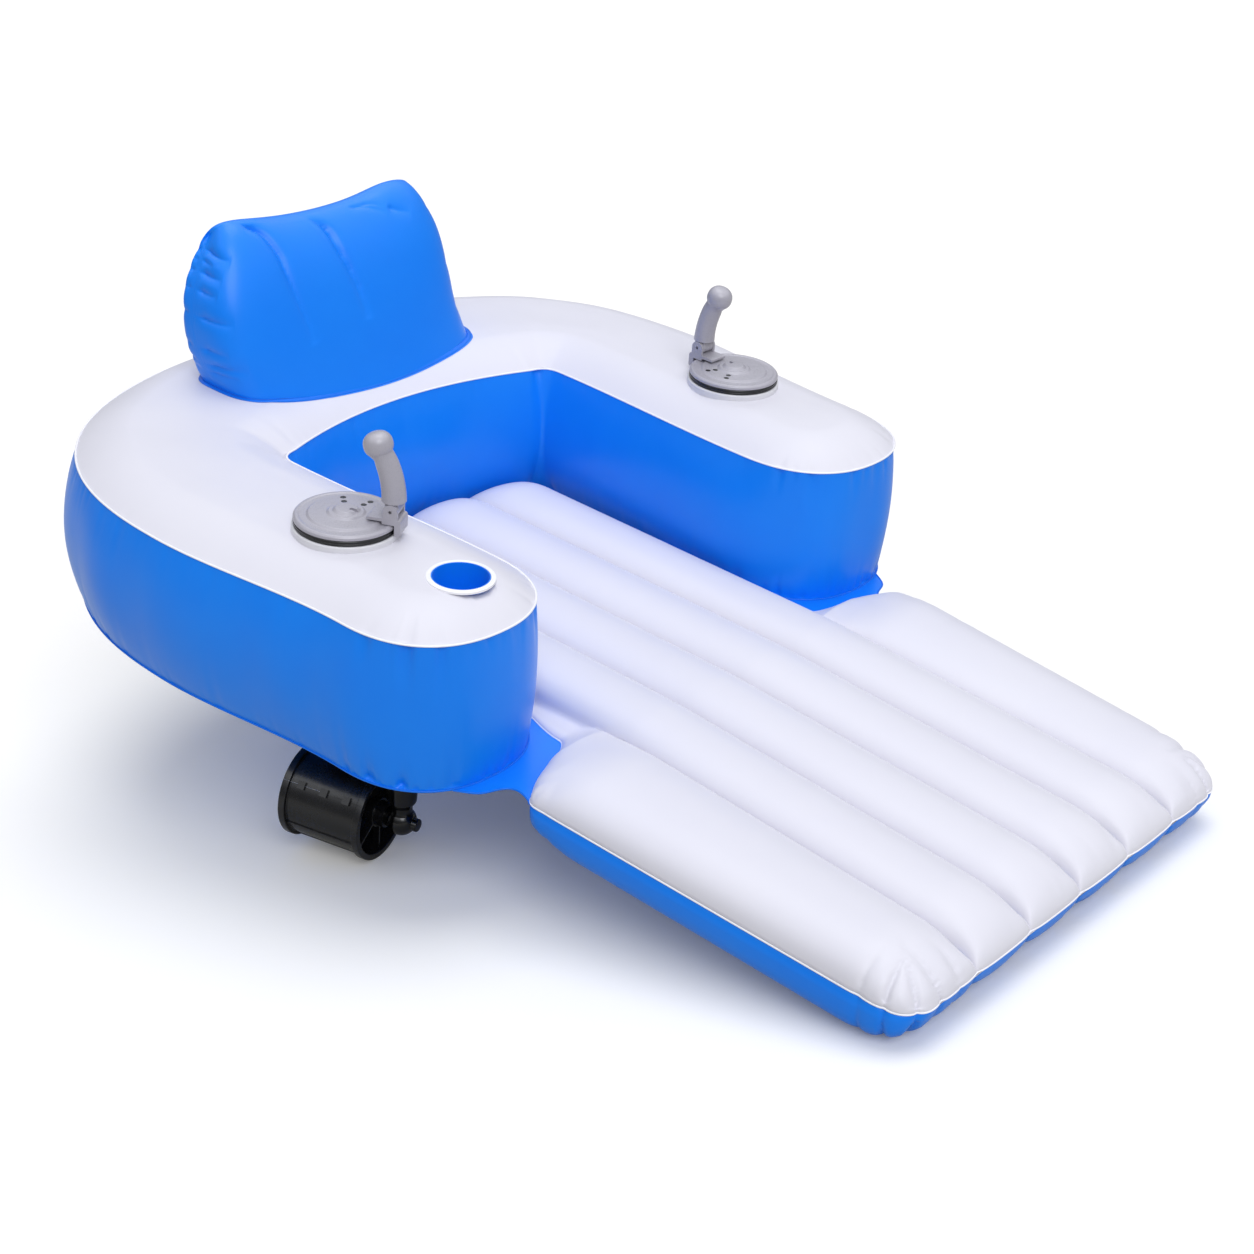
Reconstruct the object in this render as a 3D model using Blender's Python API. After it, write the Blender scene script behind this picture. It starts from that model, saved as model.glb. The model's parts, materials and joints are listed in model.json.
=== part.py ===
"""Inflatable pool chair driven and steered by two ducted propellers.

Metres, +Z up. The origin lies midway between the two steering axes, on the plane of the float's
lower seam, which is the water line of the unloaded chair. The sitter faces -Y, and the cup holder
is on the sitter's right, at -X. A drive unit is modelled about its own steering axis, with its
front at -Y, and its empty then sets it in place and turns it.
"""

import math

import bmesh
import bpy
from mathutils import Matrix, Vector

# Float, seen from above
DRIVE_SPACING = 0.840
AXIS_TO_SIDE = 0.174
AXIS_TO_NOSE_CENTRE = 0.005
AXIS_TO_CAVITY = 0.130
FLOAT_HALF_WIDTH = DRIVE_SPACING / 2 + AXIS_TO_SIDE
FLOAT_WIDEST_Y = 0.200
FLOAT_REAR_Y = 0.690
FLOAT_REAR_ROUNDNESS = 2.45
ARM_NOSE_WIDTH = 0.286
ARM_NOSE_CENTRE_X = DRIVE_SPACING / 2 - AXIS_TO_NOSE_CENTRE
ARM_NOSE_START_Y = -0.150
ARM_NOSE_LENGTH = 0.150
ARM_NOSE_ROUNDNESS = 2.3
CAVITY_HALF_WIDTH = DRIVE_SPACING / 2 - AXIS_TO_CAVITY
CAVITY_REAR_Y = 0.303
CAVITY_REAR_BOW = 0.050
CAVITY_CORNER_RADIUS = 0.030

# Float, seen from the side
FLOAT_HEIGHT = 0.224
TOP_CROWN = 0.038
UNDER_CROWN = 0.026
CROWN_REACH = 0.100
CROWN_RING_INSETS = (0.020, 0.045, 0.080)
WALL_BULGE = 0.022
WALL_LEVELS = (0.15, 0.50, 0.85)

# Mattress
MATTRESS_REAR_Y = 0.285
SIDE_ROOM = 0.032
AXIS_TO_SHOULDER = 0.012
AXIS_TO_FOOT_SIDE = 0.028
MATTRESS_SEAT_HALF_WIDTH = CAVITY_HALF_WIDTH - SIDE_ROOM
MATTRESS_SHOULDER_HALF_WIDTH = DRIVE_SPACING / 2 + AXIS_TO_SHOULDER
MATTRESS_FOOT_HALF_WIDTH = DRIVE_SPACING / 2 - AXIS_TO_FOOT_SIDE
MATTRESS_FLARE = 0.028
FLARE_START_Y = -0.170
SHOULDER_START_Y = -0.300
SHOULDER_RUN = 0.090
MATTRESS_FOOT_Y = -0.985
FOOT_CORNER_RADIUS = 0.050
FOOT_DROP = 0.032
CHANNELS_PER_HALF_SEAT = 2.1
CHANNEL_WIDTH = MATTRESS_SEAT_HALF_WIDTH / CHANNELS_PER_HALF_SEAT
MATTRESS_CROWN = 0.052
VALLEY_HEIGHT = 0.018
MATTRESS_UNDER_CROWN = 0.068
MATTRESS_END_RUN = 0.070
MATTRESS_UNDER_END_RUN = 0.180
GUSSET_THICKNESS = 0.002
AXIS_TO_GUSSET_WAIST = 0.012
GUSSET_WAIST_Y = -0.322

# Backrest
BACKREST_HALF_WIDTH = 0.240
BACKREST_HEIGHT = 0.246
BACKREST_THICKNESS = 0.185
BACKREST_Y = 0.470
BACKREST_LEAN = 0.062
BACKREST_CHAMBERS = 4
BACKREST_CREASE = 0.13
BACKREST_SWELL = 0.06
BACKREST_TOP_TAPER = 0.14
BACKREST_CORNER_DROP = 0.14
BACKREST_TOP_DIP = 0.060
BACKREST_TOP_THINNING = 0.25
BACKREST_LEVELS = (0.0, 0.12, 0.28, 0.45, 0.62, 0.76, 0.87, 0.95, 1.0)
BACKREST_SINK = 0.030
WELD_WIDTH = 0.010
WELD_THICKNESS = 0.0015
WELD_GAP = 0.0020

# Cup holder
AXIS_TO_CUP = 0.022
CUP_X = AXIS_TO_CUP - DRIVE_SPACING / 2
CUP_Y = -0.205
CUP_RADIUS = 0.0385
CUP_DEPTH = 0.100
CUP_WALL = 0.0015
CUP_RING_WIDTH = 0.0065
CUP_RING_HEIGHT = 0.0045

# Drive unit, above the float
STEERING_ANGLES = {"right": math.radians(16.0), "left": math.radians(166.0)}
HANDLE_ANGLE = math.radians(14.0)
TUBE_RADIUS = 0.0460
TUBE_WALL = 0.0025
COLLAR_WALL = 0.0040
COLLAR_DEPTH = 0.045
SLEEVE_WALL = 0.0015
FLANGE_RADIUS = 0.0755
FLANGE_THICKNESS = 0.0075
FLANGE_SINK = 0.0060
GASKET_THICKNESS = 0.0075
COVER_RADIUS = 0.0730
COVER_RIM_HEIGHT = 0.0062
COVER_STEP_HEIGHT = 0.0028
COVER_EDGE = 0.0021
BOSS_RADIUS = 0.0170
BOSS_HEIGHT = 0.0042
BOSS_NOTCH = 0.0085
DISH_RADIUS = 0.0260
STEP_RADIUS = 0.0536
RING_SLOPE = 0.0020
SCREW_RADIUS = 0.0042
SCREW_DEPTH = 0.0030
SCREW_RINGS = (0.0335, 0.0465)
SCREW_ANGLES = (63.0, 114.0)
LUG_ANGLE = math.radians(115.0)
LUG_WIDTH = 0.0150
LUG_REACH = 0.0050

# Handle
PIVOT_RADIUS = 0.0680
PIVOT_HEIGHT = 0.0115
BARREL_RADIUS = 0.0105
BARREL_WIDTH = 0.0240
EAR_THICKNESS = 0.0045
PIN_RADIUS = 0.0025
FOOT_LENGTH = 0.0150
COLUMN_BASE_RADIUS = 0.0172
COLUMN_TOP_RADIUS = 0.0155
COLUMN_HEIGHT = 0.0900
COLUMN_LEAN = 0.0235
COLUMN_LEVELS = (0.0, 0.15, 0.4, 0.7, 1.0)
KNOB_RADIUS = 0.0208
KNOB_FLATNESS = 0.90
BORE_OVERRUN = 0.0030
BRACKET_START = 0.0340
TONGUE_DEPTH = 0.0095
TONGUE_OVERLAP = 0.0018

# Inside the tube
CELL_RADIUS = 0.0165
CELL_LENGTH = 0.0610
CELL_WAIST = 0.0132
CELL_CORE = 0.0100
SHELF_THICKNESS = 0.0030
SWITCH_LENGTH = 0.0280
SWITCH_WIDTH = 0.0110
SWITCH_HEIGHT = 0.0160

# Drive unit, below the float
CLAMP_RING_RADIUS = 0.0660
CLAMP_RING_THICKNESS = 0.0070
BASE_RADIUS = 0.0560
BASE_THICKNESS = 0.0130
PYLON_REACH = 0.1000
PYLON_TOP_RADIUS = 0.0270
PYLON_FOOT_RADIUS = 0.0215
NECK_RADIUS = 0.0155
NECK_LENGTH = 0.0100
BALL_RADIUS = 0.0225
NOSE_CAP_RADIUS = 0.0100
NOSE_CAP_LENGTH = 0.0060
THRUST_DEPTH = 0.1900

# Duct, motor and propeller, along the thrust axis
DUCT_LENGTH = 0.1370
DUCT_RADIUS = 0.0670
DUCT_WALL = 0.0035
DUCT_RIM_RADIUS = 0.0726
DUCT_RIM_WIDTH = 0.0110
SADDLE_ANGLE = math.radians(104.0)
RIB_ANGLES = (-160.0, -125.0, -90.0, -55.0, -20.0)
RIB_HEIGHT = 0.0016
RIB_WIDTH = 0.0030
HOOK_COUNT = 3
HOOK_LENGTH = 0.0120
HOOK_THICKNESS = 0.0030
HOOK_OVERLAP = 0.0060
POD_RADIUS = 0.0190
POD_WALL = 0.0030
POD_LENGTH = 0.0680
MOTOR_LENGTH = 0.0450
SEAL_THICKNESS = 0.0060
SHAFT_RADIUS = 0.0030
STATOR_COLLAR = 0.0030
STATOR_LENGTH = 0.0120
SPOKE_THICKNESS = 0.0030
SPOKE_ANGLES = (-150.0, -90.0, -30.0)
HUB_RADIUS = 0.0120
HUB_LENGTH = 0.0260
BLADE_COUNT = 3
BLADE_STEPS = 7
BLADE_TIP_GAP = 0.0040
BLADE_CHORD = 0.0300
BLADE_THICKNESS = 0.0030
BLADE_PITCH = 0.120
BLADE_ROOT = 0.0084
BLADE_TIP_THINNING = 0.5

# Valves
VALVE_FLANGE_RADIUS = 0.0160
VALVE_FLANGE_THICKNESS = 0.0016
VALVE_RADIUS = 0.0075
VALVE_BORE = 0.0050
VALVE_LENGTH = 0.0120
VALVE_CAP_RADIUS = 0.0095
VALVE_CAP_THICKNESS = 0.0030
VALVE_CAP_STEM = 0.0080
VALVE_SINK = 0.0050
MATTRESS_VALVE_SETBACK = 0.200

# Clearances
SEAT_GAP = 0.0003
RUNNING_GAP = 0.0005
SIDE_PLAY = 0.0006
SEAL_GAP = 0.0002
SKIRT_GAP = 0.0010

# Facets
REAR_STEPS = 9
SIDE_STEPS = 4
NOSE_STEPS = 10
CORNER_STEPS = 3
EAR_STEPS = 8
BALL_STEPS = 7
KNOB_STEPS = 8
DUCT_STEPS = 26
SADDLE_STEPS = 10
COVER_ROUND = 32
ROUND = 28
SMALL_ROUND = 16
TINY_ROUND = 12


# Materials and meshes


def clear_scene():
    for item in list(bpy.data.objects):
        bpy.data.objects.remove(item)


def plastic(name, colour, roughness, metallic=0.0):
    material = bpy.data.materials.new(name)
    material.use_nodes = True
    shader = material.node_tree.nodes["Principled BSDF"]
    shader.inputs["Base Color"].default_value = (*colour, 1.0)
    shader.inputs["Roughness"].default_value = roughness
    shader.inputs["Metallic"].default_value = metallic
    return material


def add_object(name, mesh, material=None, parent=None, sharp=35.0):
    """Puts a mesh in the scene, with its faces out and its round faces smooth."""
    bm = bmesh.new()
    bm.from_mesh(mesh)
    bmesh.ops.recalc_face_normals(bm, faces=bm.faces)
    bm.to_mesh(mesh)
    bm.free()
    mesh.shade_smooth()
    mesh.set_sharp_from_angle(angle=math.radians(sharp))
    item = bpy.data.objects.new(name, mesh)
    bpy.context.scene.collection.objects.link(item)
    if material:
        mesh.materials.append(material.copy())
        mesh.materials[0].name = name + "_finish"
    item.parent = parent
    return item


def empty(name, parent=None, location=(0.0, 0.0, 0.0), rotation=(0.0, 0.0, 0.0)):
    item = bpy.data.objects.new(name, None)
    item.location = location
    item.rotation_euler = rotation
    item.parent = parent
    bpy.context.scene.collection.objects.link(item)
    return item


def mesh_from(name, points, faces):
    mesh = bpy.data.meshes.new(name)
    mesh.from_pydata([tuple(point) for point in points], [], faces)
    return mesh


def loft(name, rings, closed=False):
    """Skins rings of equally many points, with a cap on each end unless the last meets the first."""
    count = len(rings[0])
    points = [point for ring in rings for point in ring]
    spans = len(rings) if closed else len(rings) - 1
    faces = []
    for i in range(spans):
        low = i * count
        high = (i + 1) % len(rings) * count
        for k in range(count):
            after = (k + 1) % count
            faces.append((low + k, low + after, high + after, high + k))
    if not closed:
        faces.append(tuple(range(count)))
        faces.append(tuple(range((len(rings) - 1) * count, len(rings) * count)))
    return mesh_from(name, points, faces)


def welded(mesh):
    """The same mesh with the points that lie in one place made one."""
    bm = bmesh.new()
    bm.from_mesh(mesh)
    bmesh.ops.remove_doubles(bm, verts=bm.verts, dist=1e-6)
    bm.to_mesh(mesh)
    bm.free()
    return mesh


def turned(name, profile, steps=ROUND):
    """Spins a profile of (radius, z) about Z. It runs between two points on the axis, or closes."""
    bm = bmesh.new()
    points = [bm.verts.new((radius, 0.0, z)) for radius, z in profile]
    edges = [bm.edges.new(pair) for pair in zip(points, points[1:])]
    if profile[0][0] > 0.0:
        edges.append(bm.edges.new((points[-1], points[0])))
    bmesh.ops.spin(
        bm,
        geom=points + edges,
        cent=(0.0, 0.0, 0.0),
        axis=(0.0, 0.0, 1.0),
        angle=math.tau,
        steps=steps,
        use_duplicate=False,
    )
    bmesh.ops.remove_doubles(bm, verts=bm.verts, dist=1e-6)
    mesh = bpy.data.meshes.new(name)
    bm.to_mesh(mesh)
    bm.free()
    return mesh


def plug(name, radius, low, high, steps=ROUND):
    """A solid cylinder on Z, from low to high."""
    return turned(name, [(0.0, high), (radius, high), (radius, low), (0.0, low)], steps)


def prism(name, outline, low, high):
    """A flat outline of (x, y) points extruded from z = low to z = high."""
    return loft(name, [[(x, y, z) for x, y in outline] for z in (low, high)])


def block(name, low, high):
    """A box between two corners."""
    (x0, y0, z0), (x1, y1, z1) = low, high
    return prism(name, [(x0, y0), (x1, y0), (x1, y1), (x0, y1)], z0, z1)


def place(mesh, move=(0.0, 0.0, 0.0), turn=0.0, axis="Z"):
    """Turns a mesh about an axis through the origin, then moves it."""
    mesh.transform(Matrix.Translation(move) @ Matrix.Rotation(turn, 4, axis))
    return mesh


def combine(name, meshes):
    """Several meshes in one, for a cutter."""
    bm = bmesh.new()
    for mesh in meshes:
        bm.from_mesh(mesh)
    joined = bpy.data.meshes.new(name)
    bm.to_mesh(joined)
    bm.free()
    return joined


def tool(name, mesh, parent=None):
    """A helper that a Boolean reads and no render shows."""
    item = add_object(name, mesh, parent=parent)
    item.hide_render = True
    item.display_type = "WIRE"
    return item


def boolean(item, other, operation="DIFFERENCE"):
    modifier = item.modifiers.new(operation.lower(), "BOOLEAN")
    modifier.operation = operation
    modifier.object = other
    modifier.solver = "EXACT"


def smoothstep(value):
    value = min(max(value, 0.0), 1.0)
    return value * value * (3.0 - 2.0 * value)


def signed_power(value, exponent):
    return math.copysign(abs(value) ** exponent, value)


# Float


def float_half_outline():
    """The seam of the right half, from the middle of the rear round the nose to the cavity."""
    nose_outer = ARM_NOSE_CENTRE_X + ARM_NOSE_WIDTH / 2
    nose_inner = ARM_NOSE_CENTRE_X - ARM_NOSE_WIDTH / 2
    rear_power = 2.0 / FLOAT_REAR_ROUNDNESS
    nose_power = 2.0 / ARM_NOSE_ROUNDNESS
    outline = []
    for step in range(REAR_STEPS + 1):
        angle = math.pi / 2 * step / REAR_STEPS
        x = FLOAT_HALF_WIDTH * math.sin(angle) ** rear_power
        depth = FLOAT_REAR_Y - FLOAT_WIDEST_Y
        y = FLOAT_WIDEST_Y + depth * abs(math.cos(angle)) ** rear_power
        outline.append((x, y))
    for step in range(1, SIDE_STEPS):
        along = step / SIDE_STEPS
        x = FLOAT_HALF_WIDTH + (nose_outer - FLOAT_HALF_WIDTH) * smoothstep(along)
        outline.append((x, FLOAT_WIDEST_Y + (ARM_NOSE_START_Y - FLOAT_WIDEST_Y) * along))
    for step in range(NOSE_STEPS + 1):
        angle = math.pi * step / NOSE_STEPS
        x = ARM_NOSE_CENTRE_X + ARM_NOSE_WIDTH / 2 * signed_power(math.cos(angle), nose_power)
        y = ARM_NOSE_START_Y - ARM_NOSE_LENGTH * abs(math.sin(angle)) ** nose_power
        outline.append((x, y))
    corner_y = CAVITY_REAR_Y - CAVITY_CORNER_RADIUS
    corner_x = CAVITY_HALF_WIDTH - CAVITY_CORNER_RADIUS
    for step in range(1, SIDE_STEPS):
        along = step / SIDE_STEPS
        x = nose_inner + (CAVITY_HALF_WIDTH - nose_inner) * smoothstep(along)
        outline.append((x, ARM_NOSE_START_Y + (corner_y - ARM_NOSE_START_Y) * along))
    for step in range(CORNER_STEPS + 1):
        angle = math.pi / 2 * step / CORNER_STEPS
        x = corner_x + CAVITY_CORNER_RADIUS * math.cos(angle)
        outline.append((x, corner_y + CAVITY_CORNER_RADIUS * math.sin(angle)))
    for step in range(1, CORNER_STEPS + 1):
        across = 1.0 - step / CORNER_STEPS
        outline.append((corner_x * across, CAVITY_REAR_Y + CAVITY_REAR_BOW * (1.0 - across**2)))
    return outline


def float_outline():
    half = float_half_outline()
    return half + [(-x, y) for x, y in reversed(half[1:-1])]


def offset(outline, distance):
    """Moves a clockwise loop outwards, or inwards where the distance is negative."""
    moved = []
    for i, point in enumerate(outline):
        here = Vector(point)
        before = (here - Vector(outline[i - 1])).normalized()
        after = (Vector(outline[(i + 1) % len(outline)]) - here).normalized()
        normal = Vector((-before.y - after.y, before.x + after.x)).normalized()
        stretch = max(normal.dot(Vector((-before.y, before.x))), 0.7)
        moved.append(tuple(here + normal * (distance / stretch)))
    return moved


def level(outline, z):
    return [(x, y, z) for x, y in outline]


def crown_share(inset):
    """How far the sheet has risen at this distance from its seam, from 0 to 1."""
    return 1.0 - (1.0 - min(inset / CROWN_REACH, 1.0)) ** 2


def plateau():
    """The level of the flat middle of the float's top."""
    return FLOAT_HEIGHT + TOP_CROWN * crown_share(CROWN_RING_INSETS[-1])


def underside():
    """The level of the flat middle of the float's underside."""
    return -UNDER_CROWN * crown_share(CROWN_RING_INSETS[-1])


def top_rings(rise=0.0):
    outline = float_outline()
    rings = [level(outline, FLOAT_HEIGHT + rise)]
    for inset in CROWN_RING_INSETS:
        z = FLOAT_HEIGHT + TOP_CROWN * crown_share(inset) + rise
        rings.append(level(offset(outline, -inset), z))
    return rings


def make_float(materials):
    outline = float_outline()
    rings = []
    for inset in reversed(CROWN_RING_INSETS):
        rings.append(level(offset(outline, -inset), -UNDER_CROWN * crown_share(inset)))
    rings.append(level(outline, 0.0))
    for share in WALL_LEVELS:
        bulge = WALL_BULGE * 4.0 * share * (1.0 - share)
        rings.append(level(offset(outline, bulge), share * FLOAT_HEIGHT))
    rings.append(level(outline, FLOAT_HEIGHT - SEAT_GAP))
    walls = add_object("float_walls", loft("float_walls", rings), materials["blue"], sharp=60.0)
    panel = add_object(
        "float_top_panel", loft("float_top_panel", top_rings()), materials["white"], sharp=60.0
    )
    over = 2.0 * FLOAT_HEIGHT
    holes = []
    for x in (-DRIVE_SPACING / 2, DRIVE_SPACING / 2):
        hole = plug("sleeve_hole", sleeve_hole_radius(), -over, over)
        holes.append(place(hole, (x, 0.0, 0.0)))
    floor = plateau() - CUP_DEPTH - CUP_WALL - SEAT_GAP
    hole = plug("pocket_hole", CUP_RADIUS + CUP_WALL + SEAT_GAP, floor, over)
    holes.append(place(hole, (CUP_X, CUP_Y, 0.0)))
    cutter = tool("float_holes", combine("float_holes", holes))
    boolean(walls, cutter)
    boolean(panel, cutter)
    return walls


def make_top_clearance():
    """What lies on the float's top is cut by this, so that it follows the crown."""
    rings = [level(float_outline(), FLOAT_HEIGHT / 2)] + top_rings(rise=SEAT_GAP)
    return tool("top_clearance", loft("top_clearance", rings))


def sleeve_hole_radius():
    return collar_radius() + SEAT_GAP + SLEEVE_WALL + SEAT_GAP


def collar_radius():
    return TUBE_RADIUS + RUNNING_GAP + COLLAR_WALL


# Mattress


def seam_level(y):
    """The side seam lies at the float's lower seam and runs down towards the foot."""
    start = SHOULDER_START_Y - SHOULDER_RUN
    return -FOOT_DROP * min(max((start - y) / (start - MATTRESS_FOOT_Y), 0.0), 1.0)


def mattress_half_width(y):
    shoulder = smoothstep((SHOULDER_START_Y - y) / SHOULDER_RUN)
    start = SHOULDER_START_Y - SHOULDER_RUN
    taper = min(max((start - y) / (start - MATTRESS_FOOT_Y), 0.0), 1.0)
    wide = MATTRESS_SHOULDER_HALF_WIDTH
    wide += (MATTRESS_FOOT_HALF_WIDTH - MATTRESS_SHOULDER_HALF_WIDTH) * taper
    flare = smoothstep((FLARE_START_Y - y) / (FLARE_START_Y - SHOULDER_START_Y))
    seat = MATTRESS_SEAT_HALF_WIDTH + MATTRESS_FLARE * flare
    width = seat + (wide - seat) * shoulder
    inside = FOOT_CORNER_RADIUS - (y - MATTRESS_FOOT_Y)
    if inside > 0.0:
        width -= FOOT_CORNER_RADIUS - math.sqrt(max(FOOT_CORNER_RADIUS**2 - inside**2, 0.0))
    return width


def mattress_rows():
    """Where the cross-sections lie, closest where the outline bends."""
    seat_front = SHOULDER_START_Y
    shoulder_end = SHOULDER_START_Y - SHOULDER_RUN
    corner = MATTRESS_FOOT_Y + FOOT_CORNER_RADIUS
    rows = [MATTRESS_REAR_Y - MATTRESS_END_RUN * share for share in (0.0, 0.15, 0.5, 1.0)]
    rows += [rows[-1] + (seat_front - rows[-1]) * share for share in (0.35, 0.7, 0.87, 1.0)]
    rows += [seat_front - SHOULDER_RUN * share for share in (0.2, 0.4, 0.6, 0.8, 1.0)]
    length = corner - shoulder_end
    rows += [shoulder_end + length * share for share in (0.2, 0.45, 0.7, 0.87, 1.0)]
    rows += [corner - FOOT_CORNER_RADIUS * share for share in (0.4, 0.7, 0.9, 1.0)]
    return rows


def end_share(distance, run):
    """How much of its full height the mattress has at this distance from an end, from 0 to 1."""
    return math.sqrt(max(1.0 - max(1.0 - distance / run, 0.0) ** 2, 0.0))


def mattress_section(y, crown, foot_run):
    """Points (x, rise) across the mattress at y: six channels, the outer two only where it is wide."""
    half = mattress_half_width(y)
    ends = end_share(MATTRESS_REAR_Y - y, MATTRESS_END_RUN)
    ends *= end_share(y - MATTRESS_FOOT_Y, foot_run)
    valley = VALLEY_HEIGHT * crown / MATTRESS_CROWN
    right = []
    for low, high in ((0.0, CHANNEL_WIDTH), (CHANNEL_WIDTH, 2.0 * CHANNEL_WIDTH)):
        for share in (0.0, 0.14, 0.5, 0.86):
            bump = 2.0 * math.sqrt(share * (1.0 - share))
            right.append((low + (high - low) * share, (valley + (crown - valley) * bump) * ends))
    low = 2.0 * CHANNEL_WIDTH
    full = min((half - low) / CHANNEL_WIDTH, 1.0)
    for share in (0.0, 0.14, 0.5, 0.80, 0.95):
        bump = 2.0 * math.sqrt(share * (1.0 - share))
        floor = valley * (1.0 - share) ** 2
        rise = floor + (crown * full - floor) * bump
        right.append((low + (half - low) * share, rise * ends))
    right.append((half, 0.0))
    return [(-x, rise) for x, rise in reversed(right[1:])] + right


def mattress_half(name, crown, foot_run, side):
    """The part of the mattress above the seam (side 1) or below it (side -1)."""
    rows = mattress_rows()
    points, faces = [], []
    for y in rows:
        seam = seam_level(y) + side * SEAT_GAP / 2
        bow = CAVITY_REAR_BOW * max(y / MATTRESS_REAR_Y, 0.0) ** 2
        for x, rise in mattress_section(y, crown, foot_run):
            rear = y + bow * (1.0 - (x / CAVITY_HALF_WIDTH) ** 2)
            points.append((x, rear, seam + side * rise))
    count = len(points) // len(rows)
    for i in range(len(rows) - 1):
        for k in range(count - 1):
            at = i * count + k
            faces.append((at, at + 1, at + count + 1, at + count))
        low = [i * count, (i + 1) * count]
        high = [(i + 1) * count - 1, (i + 2) * count - 1]
        if i == 0:
            strip = list(range(count)) + [high[1], low[1]]
        elif i == len(rows) - 2:
            strip = [low[0], high[0]] + list(reversed(range(low[1], high[1] + 1)))
        else:
            strip = [low[0], high[0], high[1], low[1]]
        faces.append(tuple(strip))
    return mesh_from(name, points, faces)


def make_mattress(materials):
    top = mattress_half("mattress_top_panel", MATTRESS_CROWN, MATTRESS_END_RUN, 1)
    add_object("mattress_top_panel", top, materials["white"], sharp=60.0)
    depth = MATTRESS_UNDER_CROWN
    under = mattress_half("mattress_underside", depth, MATTRESS_UNDER_END_RUN, -1)
    return add_object("mattress_underside", under, materials["blue"], sharp=60.0)


def make_gussets(materials):
    """Flat strips that join the mattress to the float's lower seam, and web it to the arm noses."""
    half = float_half_outline()
    loop = float_outline()
    nose = REAR_STEPS + SIDE_STEPS + NOSE_STEPS * 2 // 5
    corner = REAR_STEPS + 2 * SIDE_STEPS + NOSE_STEPS - 1
    seam = offset(loop, SEAT_GAP)[nose : corner + 1]
    rows = [y for y in mattress_rows() if y < half[corner][1]]
    last = SHOULDER_START_Y - SHOULDER_RUN * 0.8
    side = []
    for y in rows:
        if y >= last - SEAT_GAP:
            side.append((mattress_half_width(y) + 2 * SEAT_GAP, y + 2 * SEAT_GAP))
    waist = [(DRIVE_SPACING / 2 + AXIS_TO_GUSSET_WAIST, GUSSET_WAIST_Y)]
    outline = seam + side + waist
    for name, sign in (("gusset_right", -1), ("gusset_left", 1)):
        flat = [(sign * x, y) for x, y in outline]
        shape = prism(name, flat, -GUSSET_THICKNESS, 0.0)
        add_object(name, shape, materials["blue"])


# Backrest


def backrest_point(u, v, face):
    """A point of the front (face -1) or back (face 1), u from -1 to 1 across and v from 0 to 1 up."""
    width = BACKREST_HALF_WIDTH * (1.0 + BACKREST_SWELL * math.sin(math.pi * min(v * 1.2, 1.0)))
    width *= 1.0 - BACKREST_TOP_TAPER * v**6
    x = width * signed_power(math.sin(math.pi / 2 * u), 0.85)
    shoulder = 1.0 - BACKREST_CORNER_DROP * abs(u) ** 5
    shoulder += BACKREST_TOP_DIP * (1.0 - math.cos(math.pi * u)) / 2
    z = backrest_foot() + v * (BACKREST_HEIGHT + BACKREST_SINK) * shoulder
    side = math.sqrt(max(1.0 - abs(u) ** 3.2, 0.0))
    top = math.sqrt(max(1.0 - v**3.5, 0.0)) * (1.0 - BACKREST_TOP_THINNING * v)
    half = BACKREST_THICKNESS / 2 * side * top
    if u * BACKREST_CHAMBERS / 2 % 1.0 == 0.0:
        half *= 1.0 - BACKREST_CREASE * min(v / BACKREST_LEVELS[2], 1.0)
    return (x, BACKREST_Y + BACKREST_LEAN * v + face * half, z)


def backrest_foot():
    return plateau() - BACKREST_SINK


def backrest_mesh():
    """A pillow of four upright chambers, pinched to its seam at the top and the two sides."""
    columns = 4 * BACKREST_CHAMBERS
    across = [2.0 * k / columns - 1.0 for k in range(columns + 1)]
    points = []
    for face in (-1, 1):
        points += [backrest_point(u, v, face) for v in BACKREST_LEVELS for u in across]
    count = columns + 1
    back = len(points) // 2
    faces = []
    for i in range(len(BACKREST_LEVELS) - 1):
        for k in range(columns):
            at = i * count + k
            faces.append((at, at + 1, at + count + 1, at + count))
            faces.append((back + at, back + at + count, back + at + count + 1, back + at + 1))
    faces.append(tuple(range(count)) + tuple(back + k for k in reversed(range(count))))
    return welded(mesh_from("backrest", points, faces))


def make_backrest(materials, clearance):
    """The backrest, and the weld strip that runs round its foot on the float's top."""
    backrest = add_object("backrest", backrest_mesh(), materials["blue"], sharp=60.0)
    boolean(backrest, clearance)
    sides = BACKREST_LEVELS[1]
    loop = []
    steps = 4 * BACKREST_CHAMBERS
    for step in range(steps):
        u = 2.0 * step / steps - 1.0
        loop.append((backrest_point(u, sides, 1)[0], backrest_point(u, sides, 1)[1]))
    for step in range(steps):
        u = 1.0 - 2.0 * step / steps
        loop.append((backrest_point(u, sides, -1)[0], backrest_point(u, 0.0, -1)[1]))
    inner = offset(loop, WELD_GAP)
    outer = offset(loop, WELD_GAP + WELD_WIDTH)
    high = plateau() + WELD_THICKNESS * 4
    rings = [level(outer, high), level(outer, backrest_foot())]
    rings += [level(inner, backrest_foot()), level(inner, high)]
    weld = add_object("backrest_weld", loft("weld", rings, closed=True), materials["blue"])
    under, over = top_rings(rise=SEAT_GAP), top_rings(rise=SEAT_GAP + WELD_THICKNESS)
    sheet = tool("weld_sheet", loft("weld_sheet", list(reversed(under)) + over))
    boolean(weld, sheet, "INTERSECT")
    return backrest


# Cup holder


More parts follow.
